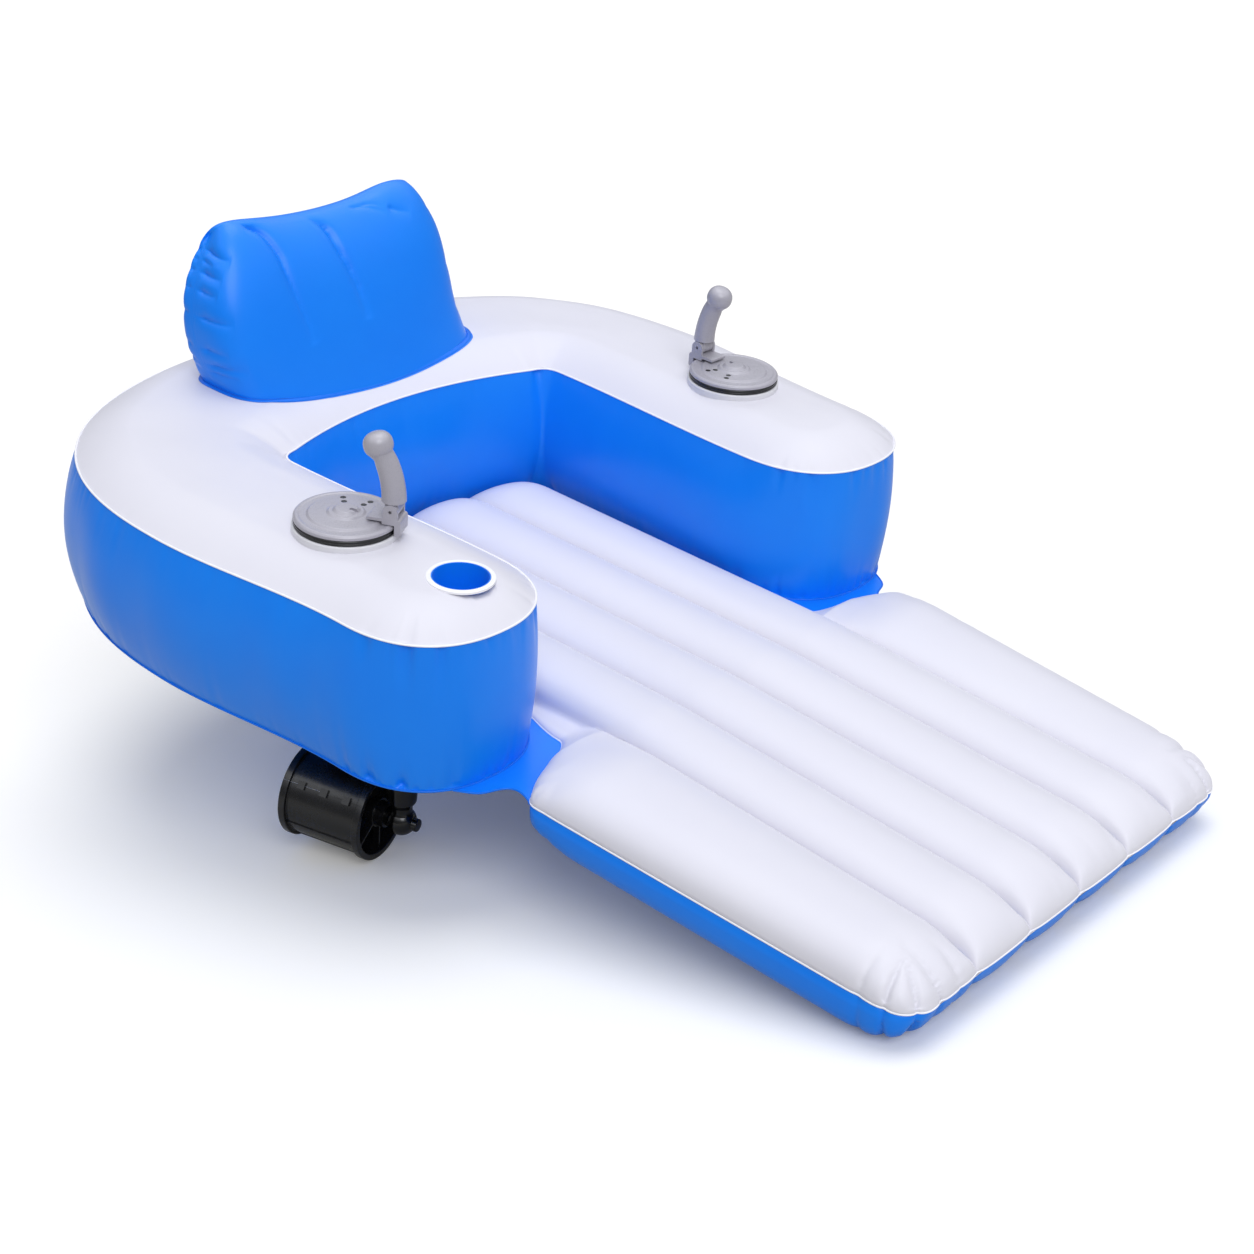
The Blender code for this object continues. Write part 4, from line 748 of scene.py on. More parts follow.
bead_tree, bead = tree_of("weld_bead", {"Radius": "Float", "Sides": "Int", "Material": "Material"})
line = node(bead_tree, "GeometryNodeMeshToCurve", None, {"Mesh": bead["Geometry"]})
section = {"Resolution": bead["Sides"], "Radius": bead["Radius"]}
section = node(bead_tree, "GeometryNodeCurvePrimitiveCircle", None, section)
swept = {"Curve": line, "Profile Curve": section, "Fill Caps": True}
close_tree(bead_tree, node(bead_tree, "GeometryNodeCurveToMesh", None, swept), bead["Material"])


def weld_bead(name, points, radius, material, closed=True):
    values = {"Radius": radius, "Sides": 8}
    return grown(path_object(points, closed), bead_tree, values, name, material)


top_line = with_height(seam + seam_normal * 0.0006, FLOAT_HEIGHT)[::2]
# The top seam bead's bright white is a painted highlight.
top_seam_bead = weld_bead("top_seam_bead", top_line, 0.0015, WELD_WHITE_HIGHLIGHT)
low_line = with_height(seam + seam_normal * 0.0010, 0.0)[::2]
# The lower seam bead's darker blue is painted shade.
low_seam_bead = weld_bead("lower_seam_bead", low_line, 0.0016, WELD_BLUE_SHADE)
print("two beads,", len(top_seam_bead.data.polygons), "faces each")

# %% [markdown]
# ## The mattress
# An air mattress is two sheets with lines welded between them. Air pushes each strip into half a
# tube, so the top is a row of ribs with sharp valleys. The rule is the same for every rib, so the
# ribs are raised by Geometry Nodes: the flat sheet carries, at each point, how far across its rib it
# lies, how near an end it is and how deep it is tucked, and the tree works out the height.

# %% The flat sheet
SEAT_HALF, SHOULDER_HALF, FOOT_HALF = 0.258, 0.432, 0.392
FLARE, FLARE_START = 0.028, -0.170
MATTRESS_REAR, SHOULDER_START, SHOULDER_RUN, FOOT_Y = 0.285, -0.300, 0.090, -0.985
FOOT_CORNER = 0.050
FOOT_DROP = 0.032
CHANNEL = SEAT_HALF / 2.1
REAR_RUN, FOOT_RUN, UNDER_FOOT_RUN = 0.070, 0.100, 0.095
REAR_BOW, BOW_HALF = 0.050, 0.290


def mattress_level(y):
    start = SHOULDER_START - SHOULDER_RUN
    return -FOOT_DROP * np.clip((start - y) / (start - FOOT_Y), 0.0, 1.0)


def mattress_half(y):
    start = SHOULDER_START - SHOULDER_RUN
    wide = SHOULDER_HALF + (FOOT_HALF - SHOULDER_HALF) * np.clip((start - y) / (start - FOOT_Y), 0, 1)
    seat = SEAT_HALF + FLARE * ease((FLARE_START - y) / (FLARE_START - SHOULDER_START))
    width = seat + (wide - seat) * ease((SHOULDER_START - y) / SHOULDER_RUN)
    into = np.clip(FOOT_CORNER - (y - FOOT_Y), 0.0, FOOT_CORNER)
    return width - (FOOT_CORNER - np.sqrt(FOOT_CORNER**2 - into**2))


def mattress_rows():
    quarter = 1 - np.cos(np.linspace(0.0, math.pi / 2, 26))
    rear = MATTRESS_REAR - REAR_RUN * quarter
    foot = FOOT_Y + FOOT_RUN * (1 - np.cos(np.linspace(math.pi / 2, 0.0, 64)))
    seat = np.linspace(rear[-1], SHOULDER_START, 46)[1:]
    shoulder = np.linspace(SHOULDER_START, SHOULDER_START - SHOULDER_RUN, 40)[1:]
    long_run = np.linspace(shoulder[-1], foot[0], 84)[1:-1]
    return np.concatenate([rear, seat, shoulder, long_run, foot])


def flat_sheet():
    """Points of the flat sheet and, for each point, what the tree needs."""
    rows = mattress_rows()
    shares, channels = [], []
    for channel in range(3):
        arcs = (1 - np.cos(np.linspace(0.0, math.pi, 41 if channel == 2 else 31))) / 2
        part = arcs if channel == 2 else arcs[:-1]
        shares.append(part)
        channels.append(np.full(len(part), channel))
    shares, channels = np.concatenate(shares), np.concatenate(channels)
    shares = np.concatenate([shares[:0:-1], shares])
    sign = np.concatenate([-np.ones(len(channels) - 1), np.ones(len(channels))])
    channels = np.concatenate([channels[:0:-1], channels])
    half = mattress_half(rows)[:, None]
    low = channels * CHANNEL
    wide = np.where(channels == 2, half - 2 * CHANNEL, CHANNEL)
    x = sign * (low + shares * wide)
    y = np.broadcast_to(rows[:, None], x.shape)
    start = 0.5 + 0.5 * ease((SHOULDER_START - y) / 0.16)
    full = np.where(channels == 2, np.clip(wide / CHANNEL, 0.0, 1.0) * start, 1.0)
    outer = np.broadcast_to(channels == 2, x.shape)
    share = np.broadcast_to(shares, x.shape)
    bow = REAR_BOW * np.clip(y / MATTRESS_REAR, 0.0, None) ** 2 * (1 - (x / BOW_HALF) ** 2)
    return x, y, y + bow, share, full, outer


sheet_x, sheet_y, sheet_bow, sheet_share, sheet_full, sheet_outer = flat_sheet()
print("flat sheet of", sheet_x.shape[0], "by", sheet_x.shape[1], "points")

# %% [markdown]
# The tree itself: height = (valley + (crown - valley) x half circle) x rounding at the two ends, less
# the tuck. Valleys reach the seam only in the middle four ribs, the outer ribs fall to the seam.

# %% Raising the channels
channel_inputs = {"Crown": "Float", "Valley": "Float", "Side": "Float", "Boxy": "Float"}
channel_inputs["Material"] = "Material"
channel_tree, channel = tree_of("air_channels", channel_inputs)


def stored(tree, name):
    return node(tree, "GeometryNodeInputNamedAttribute", {"data_type": "FLOAT"}, {"Name": name})


across, full = stored(channel_tree, "across"), stored(channel_tree, "full")
ends, tuck, outer = (stored(channel_tree, name) for name in ("ends", "tuck", "outer"))
power = 2.2 + channel["Boxy"] * outer
middle = across * 2.0 - 1.0
hump = (1 - middle.math("ABSOLUTE", middle) ** power) ** (1 / power)
fade = 1 - across * outer
floor = channel["Valley"] * fade * fade
rise = (floor + (channel["Crown"] * full - floor) * hump) * ends
height = (rise - tuck) * channel["Side"]
offset = node(channel_tree, "ShaderNodeCombineXYZ", None, {"Z": height})
raised = {"Geometry": channel["Geometry"], "Offset": offset}
raised = node(channel_tree, "GeometryNodeSetPosition", None, raised)
close_tree(channel_tree, raised, channel["Material"])
print("the channel tree has", len(channel_tree.nodes), "nodes")

# %% [markdown]
# The ribs end before the foot: there the valley weld stops short, the ribs run together, and only a
# short sharp crease goes on to the seam. Between the creases the seam bows outwards a little, and
# the rounded corner gathers into five deep tucks.

# %% Edges, tucks and the two mattress skins


def boundary(values):
    """The sheet's edge in order: right side, foot, left side, rear."""
    right = values[:, -1]
    foot = values[-1, ::-1][1:]
    left = values[::-1, 0][1:]
    rear = values[0, :][1:-1]
    return np.concatenate([right, foot, left, rear])


EDGE_POINTS = 3000
edge = evenly(np.stack([boundary(sheet_x), boundary(sheet_bow)], axis=1), EDGE_POINTS)
edge_normal, _ = outward(edge)
edge_length = loop_length(edge)
edge_place = np.arange(EDGE_POINTS) * edge_length / EDGE_POINTS
flat_points = np.stack([sheet_x.ravel(), sheet_bow.ravel()], axis=1)
edge_index, edge_gap = nearest(flat_points, edge)
corner_gap = np.hypot(np.abs(edge[:, 0]) - FOOT_HALF + 0.02, edge[:, 1] - FOOT_Y - 0.02)
at_corner = np.exp(-((corner_gap / 0.055) ** 2))
at_foot = ease((FOOT_Y + 0.06 - edge[:, 1]) / 0.05)
at_shoulder = np.exp(-(((edge[:, 1] - SHOULDER_START + 0.08) / 0.05) ** 2))
edge_pull = 0.0002 + 0.0015 * at_foot + 0.0002 * at_corner + 0.0010 * at_shoulder
CORNER_INSET = 0.015
CORNER_TUCKS = ((-0.095, 0.35), (-0.055, 0.85), (-0.012, 0.90), (0.032, 0.90), (0.068, 0.45))
SHOULDER_TUCKS = ((-0.020, 0.20), (0.004, 0.30), (0.024, 0.20))


def spots_near(target, tucked):
    """Places along the rim of tucks about the rim point nearest to a target."""
    middle = edge_place[np.argmin(np.hypot(*(edge - target).T))]
    return [(middle + offset, depth) for offset, depth in tucked]


TUCK_SPOTS = []
for sign in (-1, 1):
    corner = (sign * (FOOT_HALF - CORNER_INSET), FOOT_Y + CORNER_INSET)
    TUCK_SPOTS += spots_near(corner, CORNER_TUCKS)
    TUCK_SPOTS += spots_near((sign * SHOULDER_HALF, SHOULDER_START - SHOULDER_RUN), SHOULDER_TUCKS)


def deep_tucks(width, reach):
    """Sharp creases that run in from the rim, each widest at its inner end."""
    place, gap = edge_place[edge_index], edge_gap
    total = np.zeros_like(gap)
    for spot, depth in TUCK_SPOTS:
        aside = np.abs((place - spot + edge_length / 2) % edge_length - edge_length / 2)
        shape = np.exp(-((aside / (width * (1 + 1.5 * gap / reach))) ** 1.1))
        total += depth * shape * np.exp(-((gap / (reach * (0.5 + 0.5 * depth))) ** 1.8))
    return total


UPPER_CROWN, UPPER_VALLEY = 0.052, 0.018
UNDER_CROWN_DEPTH, UNDER_VALLEY = 0.074, 0.0235


def ends_and_sink(crown, foot_run, seed):
    """How full the sheet is near its ends, how far it sinks, and how far its seam draws in."""
    gathers = tucks(EDGE_POINTS, edge_length, seed)
    pull = tuck_depth(gathers, edge_index, edge_gap) * edge_pull[edge_index]
    pull = (pull + 0.0125 * deep_tucks(0.0042, 0.050)) * ease(edge_gap / 0.003)
    rear_share = np.clip(1 - (MATTRESS_REAR - sheet_y) / REAR_RUN, 0.0, 1.0)
    foot_share = np.clip(1 - (sheet_y - FOOT_Y) / foot_run, 0.0, 1.0)
    ends = np.sqrt(1 - rear_share**2) * np.sqrt(1 - foot_share**2)
    to_foot = sheet_y - FOOT_Y
    aside = np.abs(sheet_x) / CHANNEL
    aside = np.abs(aside - np.round(aside)) * CHANNEL
    aside = np.where(np.abs(sheet_x) > 2.5 * CHANNEL, 1.0, aside)
    close = np.exp(-((aside / 0.016) ** 2)) * np.exp(-(((to_foot - 0.008) / 0.014) ** 2))
    sharp = np.exp(-aside / 0.0043) * np.exp(-(((to_foot - 0.034) / 0.026) ** 2))
    sink = pull.reshape(sheet_x.shape) + (0.021 * sharp - 0.004 * close) * (crown / UPPER_CROWN)
    scallop = 0.0040 * np.exp(-aside / 0.014) * np.exp(-to_foot / 0.012)
    return ends, sink, scallop


def mattress_skin(name, crown, valley, side, boxy, foot_run, material, seed):
    ends, sink, scallop = ends_and_sink(crown, foot_run, seed)
    inward = 0.0050 * deep_tucks(0.0060, 0.060) * np.exp(-edge_gap / 0.02)
    shift = -edge_normal[edge_index] * inward[:, None]
    shift = shift.reshape(*sheet_x.shape, 2)
    z = mattress_level(sheet_y) + side * GAP / 2
    place = [sheet_x + shift[:, :, 0], sheet_bow + shift[:, :, 1] + scallop, z]
    points = np.stack(place, axis=2).reshape(-1, 3)
    shell = Shell()
    number = shell.add(points).reshape(sheet_x.shape)
    shell.stack(number, closed=False)
    for k in range(len(number) - 1):
        strip = [number[k, 0], number[k, -1], number[k + 1, -1], number[k + 1, 0]]
        if k == 0:
            strip = [*number[0], number[1, -1], number[1, 0]]
        elif k == len(number) - 2:
            strip = [number[k, 0], number[k, -1], *number[k + 1, ::-1]]
        shell.faces.append(tuple(strip))
    mesh = bpy.data.meshes.new(name)
    mesh.from_pydata(points.tolist(), [], shell.faces)
    facts = {"across": sheet_share, "full": sheet_full, "outer": sheet_outer, "ends": ends}
    facts["tuck"] = sink * np.minimum(ends * 2, 1)
    for label, values in facts.items():
        layer = mesh.attributes.new(label, "FLOAT", "POINT")
        values = np.broadcast_to(values, sheet_x.shape).ravel()
        layer.data.foreach_set("value", values.astype(np.float32))
    values = {"Crown": crown, "Valley": valley, "Side": float(side), "Boxy": boxy}
    item = grown(shown(name + "_flat", mesh), channel_tree, values, name, material)
    return item, np.stack([boundary(points.reshape(*sheet_x.shape, 3)[:, :, k]) for k in range(3)], 1)


mattress_upper, rim = mattress_skin(
    "mattress_upper_sheet", UPPER_CROWN, UPPER_VALLEY, 1, 0.2, FOOT_RUN, WHITE, seed=31
)
mattress_lower, _ = mattress_skin(
    "mattress_lower_sheet", UNDER_CROWN_DEPTH, UNDER_VALLEY, -1, 1.4, UNDER_FOOT_RUN, BLUE, seed=47
)
rim = evenly(rim, 2400)
# The mattress seam bead's bright white is a painted highlight.
mattress_seam_bead = weld_bead("mattress_seam_bead", rim, 0.0013, WELD_WHITE_HIGHLIGHT)
print(len(mattress_upper.data.polygons), "faces in each mattress sheet")

# %% [markdown]
# ## The backrest
# The backrest is a pillow welded to the float's top along its foot. Each face is a sheet of points
# (u across, v up), with more points where the surface turns. The film is drawn into creases: each is
# a line on the sheet, pressed in along the surface's own normal, deepest near its start. Long ones
# come down from the top edge, short ones cross the side seams.

# %% The backrest cushion
BACK_FOOT = PLATEAU - 0.030
BACK_HALF, BACK_HEIGHT, BACK_Y, BACK_LEAN, BACK_DEPTH = 0.240, 0.276, 0.470, 0.062, 0.0925
BACK_COLUMNS, BACK_ROWS, CREASE_POINTS = 281, 151, 60
FRONT, REAR = -1, 1


def shoulder(u):
    """How high the top edge is at each place across, as a share of the cushion's height."""
    lobe = 0.020 * np.exp(-(((u - 0.50) / 0.20) ** 2)) - 0.022 * ease((u - 0.74) / 0.26)
    return 0.962 - 0.13 * np.abs(u) ** 4 + 0.090 * (1.0 - np.cos(math.pi * u)) / 2 + lobe


LONG_CREASE = ((-0.60, 0.995), (-0.44, 0.96), (-0.36, 0.88))
LONG_CREASE += ((-0.32, 0.78), (-0.27, 0.56), (-0.25, 0.36))
MIDDLE_CREASE = ((-0.08, 0.985), (-0.02, 0.93), (0.00, 0.80), (0.02, 0.62), (0.03, 0.42))
BACK_CREASES = [
    (FRONT, LONG_CREASE, 0.0096, 0.0031),
    (FRONT, MIDDLE_CREASE, 0.0100, 0.0030),
    (FRONT, ((0.16, 0.985), (0.24, 0.97), (0.30, 0.94), (0.35, 0.91)), 0.0030, 0.0025),
    (FRONT, ((0.22, 0.98), (0.30, 0.965), (0.36, 0.93)), 0.0024, 0.0022),
    (FRONT, ((0.37, 0.93), (0.42, 0.90), (0.50, 0.86)), 0.0036, 0.0035),
    (REAR, ((-0.50, 0.97), (-0.46, 0.80), (-0.44, 0.50)), 0.0080, 0.0050),
    (REAR, ((0.02, 0.97), (0.00, 0.75), (0.00, 0.45)), 0.0080, 0.0050),
    (REAR, ((0.50, 0.97), (0.47, 0.80), (0.45, 0.50)), 0.0080, 0.0050),
]
# Each pucker's height at the side seam, how far it falls, the u where it ends, and its depth.
SIDE_PUCKERS = [
    (0.955, 0.020, 0.72, 0.006),
    (0.895, 0.006, 0.90, 0.003),
    (0.835, 0.004, 0.80, 0.006),
    (0.735, 0.000, 0.84, 0.005),
    (0.585, 0.000, 0.72, 0.006),
    (0.390, 0.000, 0.82, 0.005),
    (0.285, -0.02, 0.70, 0.006),
    (0.235, -0.01, 0.80, 0.004),
]
for side_sign in (-1, 1):
    for level, drop, reach, depth in SIDE_PUCKERS:
        level += 0.02 * (side_sign > 0)
        for face in (FRONT, REAR):
            shares = (0.0, 0.25, 0.5, 0.75, 1.0)
            line = [(side_sign * (1 - share * (1 - reach)), share) for share in shares]
            line = [(u, level * shoulder(1.0) / shoulder(u) - drop * share) for u, share in line]
            soft = (1.0 if face == FRONT else 0.5) * (1.0 if side_sign < 0 else 0.4)
            BACK_CREASES.append((face, line, depth * soft, 0.0028))


def back_surface(u, v, face):
    """The cushion's plain form: a point for each u and v on one face."""
    width = BACK_HALF * (1.0 + 0.045 * np.sin(math.pi * np.minimum(v * 1.2, 1.0)))
    narrowing = 0.20 - 0.07 * ease(u)
    width = width * (1.0 - narrowing * np.clip((v - 0.45) / 0.55, 0.0, 1.0) ** 2.6)
    swing = np.sin(math.pi / 2 * u)
    x = width * np.sign(swing) * np.abs(swing) ** 0.93
    x = x - 0.022 * (0.3 + 0.7 * ease(v / 0.4))
    x = x - 0.010 * ease(u) * ease(v / 0.4) * (1 - 1.6 * ease((v - 0.5) / 0.4))
    z = BACK_FOOT + v * BACK_HEIGHT * shoulder(u)
    side = np.sqrt(np.clip(1.0 - np.abs(u) ** 2.4, 0.0, 1.0))
    top = np.sqrt(np.clip(1.0 - v**3.5, 0.0, 1.0)) * (1.0 - 0.25 * v)
    y = BACK_Y + BACK_LEAN * v + 0.024 * u**4 * ease(v / 0.2) + face * BACK_DEPTH * side * top
    return np.stack(np.broadcast_arrays(x, y, z), axis=-1)


def crease_push(points, line, face, depth, width):
    """How far each point is pressed in by one crease, a line of (u, v) on the face."""
    line = smooth_line(line, CREASE_POINTS)
    gap = np.full(points.shape[:2], 1.0)
    share = np.zeros(points.shape[:2])
    for k, spot in enumerate(back_surface(line[:, 0], line[:, 1], face)):
        away = np.linalg.norm(points - spot, axis=2)
        share = np.where(away < gap, k / (CREASE_POINTS - 1), share)
        gap = np.minimum(gap, away)
    strength = ease(share / 0.20 + 0.15) * (1 - share) ** 0.65
    valley = np.exp(-((gap / (width * (1 + 1.5 * share))) ** 1.1))
    return depth * strength * (valley + 0.35 * np.exp(-((gap / (4 * width)) ** 2)))


def backrest_grid(face):
    """One face of the cushion, with its creases pressed in along the normals."""
    across = np.linspace(-1.0, 1.0, BACK_COLUMNS)
    u = (across * (1.5 - 0.5 * across**2))[None, :]
    v = (np.sin(np.linspace(0.0, 1.0, BACK_ROWS) * math.pi / 2) ** 1.15)[:, None]
    points = back_surface(u, v, face)
    normal = np.cross(np.gradient(points, axis=1), np.gradient(points, axis=0))
    normal /= np.linalg.norm(normal, axis=2, keepdims=True) + 1e-12
    normal *= face * np.sign(normal[BACK_ROWS // 2, BACK_COLUMNS // 2, 1])
    push = np.zeros((BACK_ROWS, BACK_COLUMNS))
    for which, line, depth, width in BACK_CREASES:
        if which == face:
            push = np.maximum(push, crease_push(points, line, face, depth, width))
    rim = np.minimum((1 - np.abs(across))[None, :] * 0.33, (1 - v) * 0.30)
    push = push * ease(rim / 0.007 + 0.1) + 0.0006 * np.exp(-rim / 0.004)
    return points - normal * (push * ease(rim / 0.0015))[:, :, None]


def make_backrest():
    shell = Shell()
    loops = []
    for face in (FRONT, REAR):
        flat = backrest_grid(face).reshape(-1, 3)
        low = flat[:, 2] < PLATEAU + 0.01
        flat[low, 2] = np.maximum(flat[low, 2], top_height(flat[low, :2]) + 0.0004)
        number = shell.add(flat).reshape(BACK_ROWS, BACK_COLUMNS)
        shell.stack(number, closed=False)
        loops.append(number[0])
    shell.stack(loops, closed=False)
    return shell.object("backrest_cushion", BLUE)


backrest_cushion = make_backrest()
print(len(backrest_cushion.data.polygons), "faces in the backrest")

# %% [markdown]
# ## The band that holds the backrest
# The backrest's foot is welded to the white top through a narrow flat band that runs round it. It
# follows the top's own height, so it never floats or sinks. Its darker blue is painted shade.

# %% The foot band
BAND = ((0.0005, 0.0003), (0.0005, 0.0026), (0.003, 0.0014), (0.0075, 0.0012), (0.0080, 0.0003))


def foot_loop():
    """The line on which the cushion meets the white top."""
    u = np.linspace(-1.0, 1.0, 200)
    v = (PLATEAU + 0.001 - BACK_FOOT) / BACK_HEIGHT / shoulder(u)
    front, back = back_surface(u, v, FRONT), back_surface(u[::-1], v[::-1], REAR)[1:-1]
    return evenly(np.concatenate([front, back])[:, :2], 400)


def make_band():
    loop = foot_loop()[::-1]
    normal, _ = outward(loop)
    shell = Shell()
    rings = []
    for reach, lift in BAND:
        line = loop + normal * reach
        rings.append(shell.add(with_height(line, top_height(line) + lift)))
    shell.stack(rings + rings[:1])
    # The band's darker blue is painted shade along the backrest's foot.
    return shell.object("backrest_foot_band", WELD_BLUE_SHADE)


backrest_band = make_band()
print("foot band of", len(backrest_band.data.polygons), "faces")

# %% [markdown]
# ## The cup holder
# A pocket of blue film hangs in the right arm, closed at its foot, and a white ring is welded round
# its mouth.

# %% Pocket and ring


def make_cup():
    top, wall = PLATEAU, 0.0015
    floor = top - 0.100
    outline = [(0.0, floor), (CUP_RADIUS, floor, 0.006), (CUP_RADIUS, top + 0.0012, 0.0006)]
    outline += [(CUP_RADIUS + wall, top + 0.0012, 0.0006), (CUP_RADIUS + wall, floor - wall, 0.006)]
    outline += [(0.0, floor - wall)]
    pocket = lathe(rounded(outline, 0.001, closed=False), closed=False).moved((*CUP, 0.0))
    pocket = pocket.object("cup_pocket_film", BLUE, 40)
    inner = CUP_RADIUS + wall + GAP
    outer = inner + 0.0068
    profile = [(inner, top - 0.003), (inner, top + 0.0017, 0.0008)]
    profile += [(inner + 0.0022, top + 0.0018, 0.0008), (inner + 0.0030, top + 0.0010, 0.0005)]
    profile += [(inner + 0.0040, top + 0.0014, 0.0008), (outer, top + 0.0009, 0.0006)]
    profile += [(outer, top - 0.003)]
    ring = lathe(rounded(profile, 0.0010)).moved((*CUP, 0.0))
    # The cup ring's bright white is a painted highlight.
    return pocket, ring.object("cup_rim_ring", WELD_WHITE_HIGHLIGHT)


cup_pocket, cup_ring = make_cup()
print("cup pocket and ring")

# %% [markdown]
# ## The gussets
# Between each arm's nose and the mattress a flat web of blue film closes the notch. A bead runs along
# its outer edge; its darker blue is painted shade.

# %% Webs between arm and mattress
WEB_START, WEB_STOP = (0.4850, -0.285), (0.288, 0.0)
WEB_EDGE = [(0.423, -0.372), (0.418, -0.353), (0.421, -0.340), (0.434, -0.330), (0.462, -0.318)]
WEB_SPACING, WEB_THICKNESS = 0.012, 0.0014


def make_web(sign, name):
    """A web from the arm's seam, by the mattress's side, to a curved free edge; and its bead."""
    first, stop = (int(np.argmin(np.hypot(*(seam - spot).T))) for spot in (WEB_START, WEB_STOP))
    run = seam[first : stop + 1] + seam_normal[first : stop + 1] * GAP
    ys = np.linspace(0.0, SHOULDER_START - SHOULDER_RUN * 0.93, 90)
    side = np.stack([mattress_half(ys) + 2 * GAP, ys], axis=1)
    lobe = smooth_line([side[-1], *WEB_EDGE, run[0]], 40)[1:-1]
    outline = np.concatenate([run, side, lobe]) * (sign, 1)
    points, faces = fill([outline[::-1] if sign > 0 else outline], WEB_SPACING)
    lobe = lobe * (sign, 1)
    edge_gap = np.hypot(*(points[:, None, :2] - lobe[None]).transpose(2, 0, 1)).min(axis=1)
    lift = -0.0004 - 0.0006 * np.sin(np.clip(edge_gap / 0.012, 0.0, 1.0) * math.pi)
    shell = Shell()
    upper = shell.add(with_height(points[:, :2], lift))
    lower = shell.add(with_height(points[:, :2], lift - WEB_THICKNESS))
    shell.cover(upper[faces])
    shell.cover(lower[faces][:, ::-1])
    shell.band(upper[: len(outline)], lower[: len(outline)])
    web = shell.object(name, BLUE, 40)
    line = with_height(lobe, -0.0010)
    # The web edge bead's darker blue is painted shade.
    return web, weld_bead(name + "_edge", line, 0.0014, WELD_BLUE_SHADE, closed=False)


webs = {side: make_web(sign, "arm_web_" + side) for side, (sign, _) in SIDES.items()}
print("two webs")

# %% [markdown]
# ## Drive units
# A drive unit is modelled once, about its own steering axis, and then placed in each arm at its own
# angle. Turned parts come from the lathe with rounded edges.

# %% Placing a piece in both drives
DEPTH = -0.190
MOUNT_TURN = 14.0
THRUST = Matrix.Translation((0.0, 0.0, DEPTH)) @ Matrix.Rotation(math.pi / 2, 4, "X")
MOUNT = Matrix.Rotation(math.radians(MOUNT_TURN), 4, "Z")


def in_both(item, where=Matrix.Identity(4), steered=True):
    """Copies a piece into both drives and removes the original."""
    out = {}
    for side, (sign, angle) in SIDES.items():
        copy = item.copy()
        copy.data = item.data.copy()
        copy.name = item.name + "_" + side
        bpy.context.scene.collection.objects.link(copy)
        base = Matrix.Translation((sign * DRIVE_X, 0.0, 0.0))
        if steered:
            base = base @ Matrix.Rotation(angle, 4, "Z")
        copy.data.transform(base @ where)
        out[side] = copy
    bpy.data.objects.remove(item)
    return out


def joined(item, others, operation="UNION"):
    """Joins or cuts with other objects and applies it, so that a plain mesh is left."""
    for other in others:
        modifier = item.modifiers.new(operation.lower(), "BOOLEAN")
        modifier.operation = operation
        modifier.solver = "EXACT"
        modifier.object = other
    mesh = baked_mesh(item)
    name, material = item.name, item.data.materials[0]
    for used in (item, *others):
        bpy.data.objects.remove(used)
    return finished(name, mesh, material, 32.0, recalculate=False)


GASKET_THICKNESS = 0.0075
FLANGE_TOP = PLATEAU + 0.0075
COVER_LOW = FLANGE_TOP + GAP + GASKET_THICKNESS + 0.0005
COVER_RIM = COVER_LOW + 0.0062
COVER_STEP = COVER_RIM + 0.0028
COVER_DISH = COVER_RIM + 0.0056
COVER_BOSS = COVER_RIM + 0.0098
print(f"cover from {COVER_LOW:.4f} to {COVER_BOSS:.4f}")

# %% [markdown]
# ## Flange, gasket and cover
# The flange is glued on the arm, a rubber gasket lies on it and the cover turns above. The cover is
# dished in rings about a boss, as a mould would have it, so that it stays stiff.

# %% Flange, gasket and cover


def box_object(low, high, material=GREY):
    shell = Shell()
    (x0, y0, z0), (x1, y1, z1) = low, high
    floor = shell.add([(x0, y0, z0), (x1, y0, z0), (x1, y1, z0), (x0, y1, z0)])
    roof = shell.add([(x0, y0, z1), (x1, y0, z1), (x1, y1, z1), (x0, y1, z1)])
    shell.band(floor, roof)
    shell.faces += [tuple(floor), tuple(roof)]
    return shell.object("box", material, 30)


def rod(radius, low, high, material=BLACK, steps=32, at=(0.0, 0.0)):
    shell = lathe([(0.0, low), (radius, low), (radius, high), (0.0, high)], steps, closed=False)
    return shell.moved((*at, 0.0)).object("rod", material, 30)


SOCKET_RADIUS, STEP_RADIUS, LEDGE_RADIUS = 0.0465, 0.0505, 0.0536
under, socket_foot = PLATEAU - 0.0058, PLATEAU - 0.045
profile = [(SOCKET_RADIUS, FLANGE_TOP), (FLANGE_RADIUS, FLANGE_TOP, 0.003), (FLANGE_RADIUS, under)]
profile += [(LEDGE_RADIUS, under), (LEDGE_RADIUS, PLATEAU + GAP), (STEP_RADIUS, PLATEAU + GAP)]
profile += [(STEP_RADIUS, socket_foot), (SOCKET_RADIUS, socket_foot)]
flange = in_both(lathe(rounded(profile, 0.0005)).object("arm_flange", PALE), steered=False)

GASKET_RADIUS, GROOVE_RADIUS = 0.0732, 0.0722
seat = FLANGE_TOP + GAP
profile = [(STEP_RADIUS, seat), (GASKET_RADIUS, seat, 0.0016), (GASKET_RADIUS, seat + 0.0030, 0.0008)]
profile += [(GROOVE_RADIUS, seat + 0.0036, 0.0006), (GASKET_RADIUS, seat + 0.0042, 0.0008)]
profile += [(GASKET_RADIUS, seat + GASKET_THICKNESS, 0.0016), (STEP_RADIUS, seat + GASKET_THICKNESS)]
gasket = in_both(lathe(rounded(profile, 0.0010)).object("arm_gasket", GLOSS), steered=False)

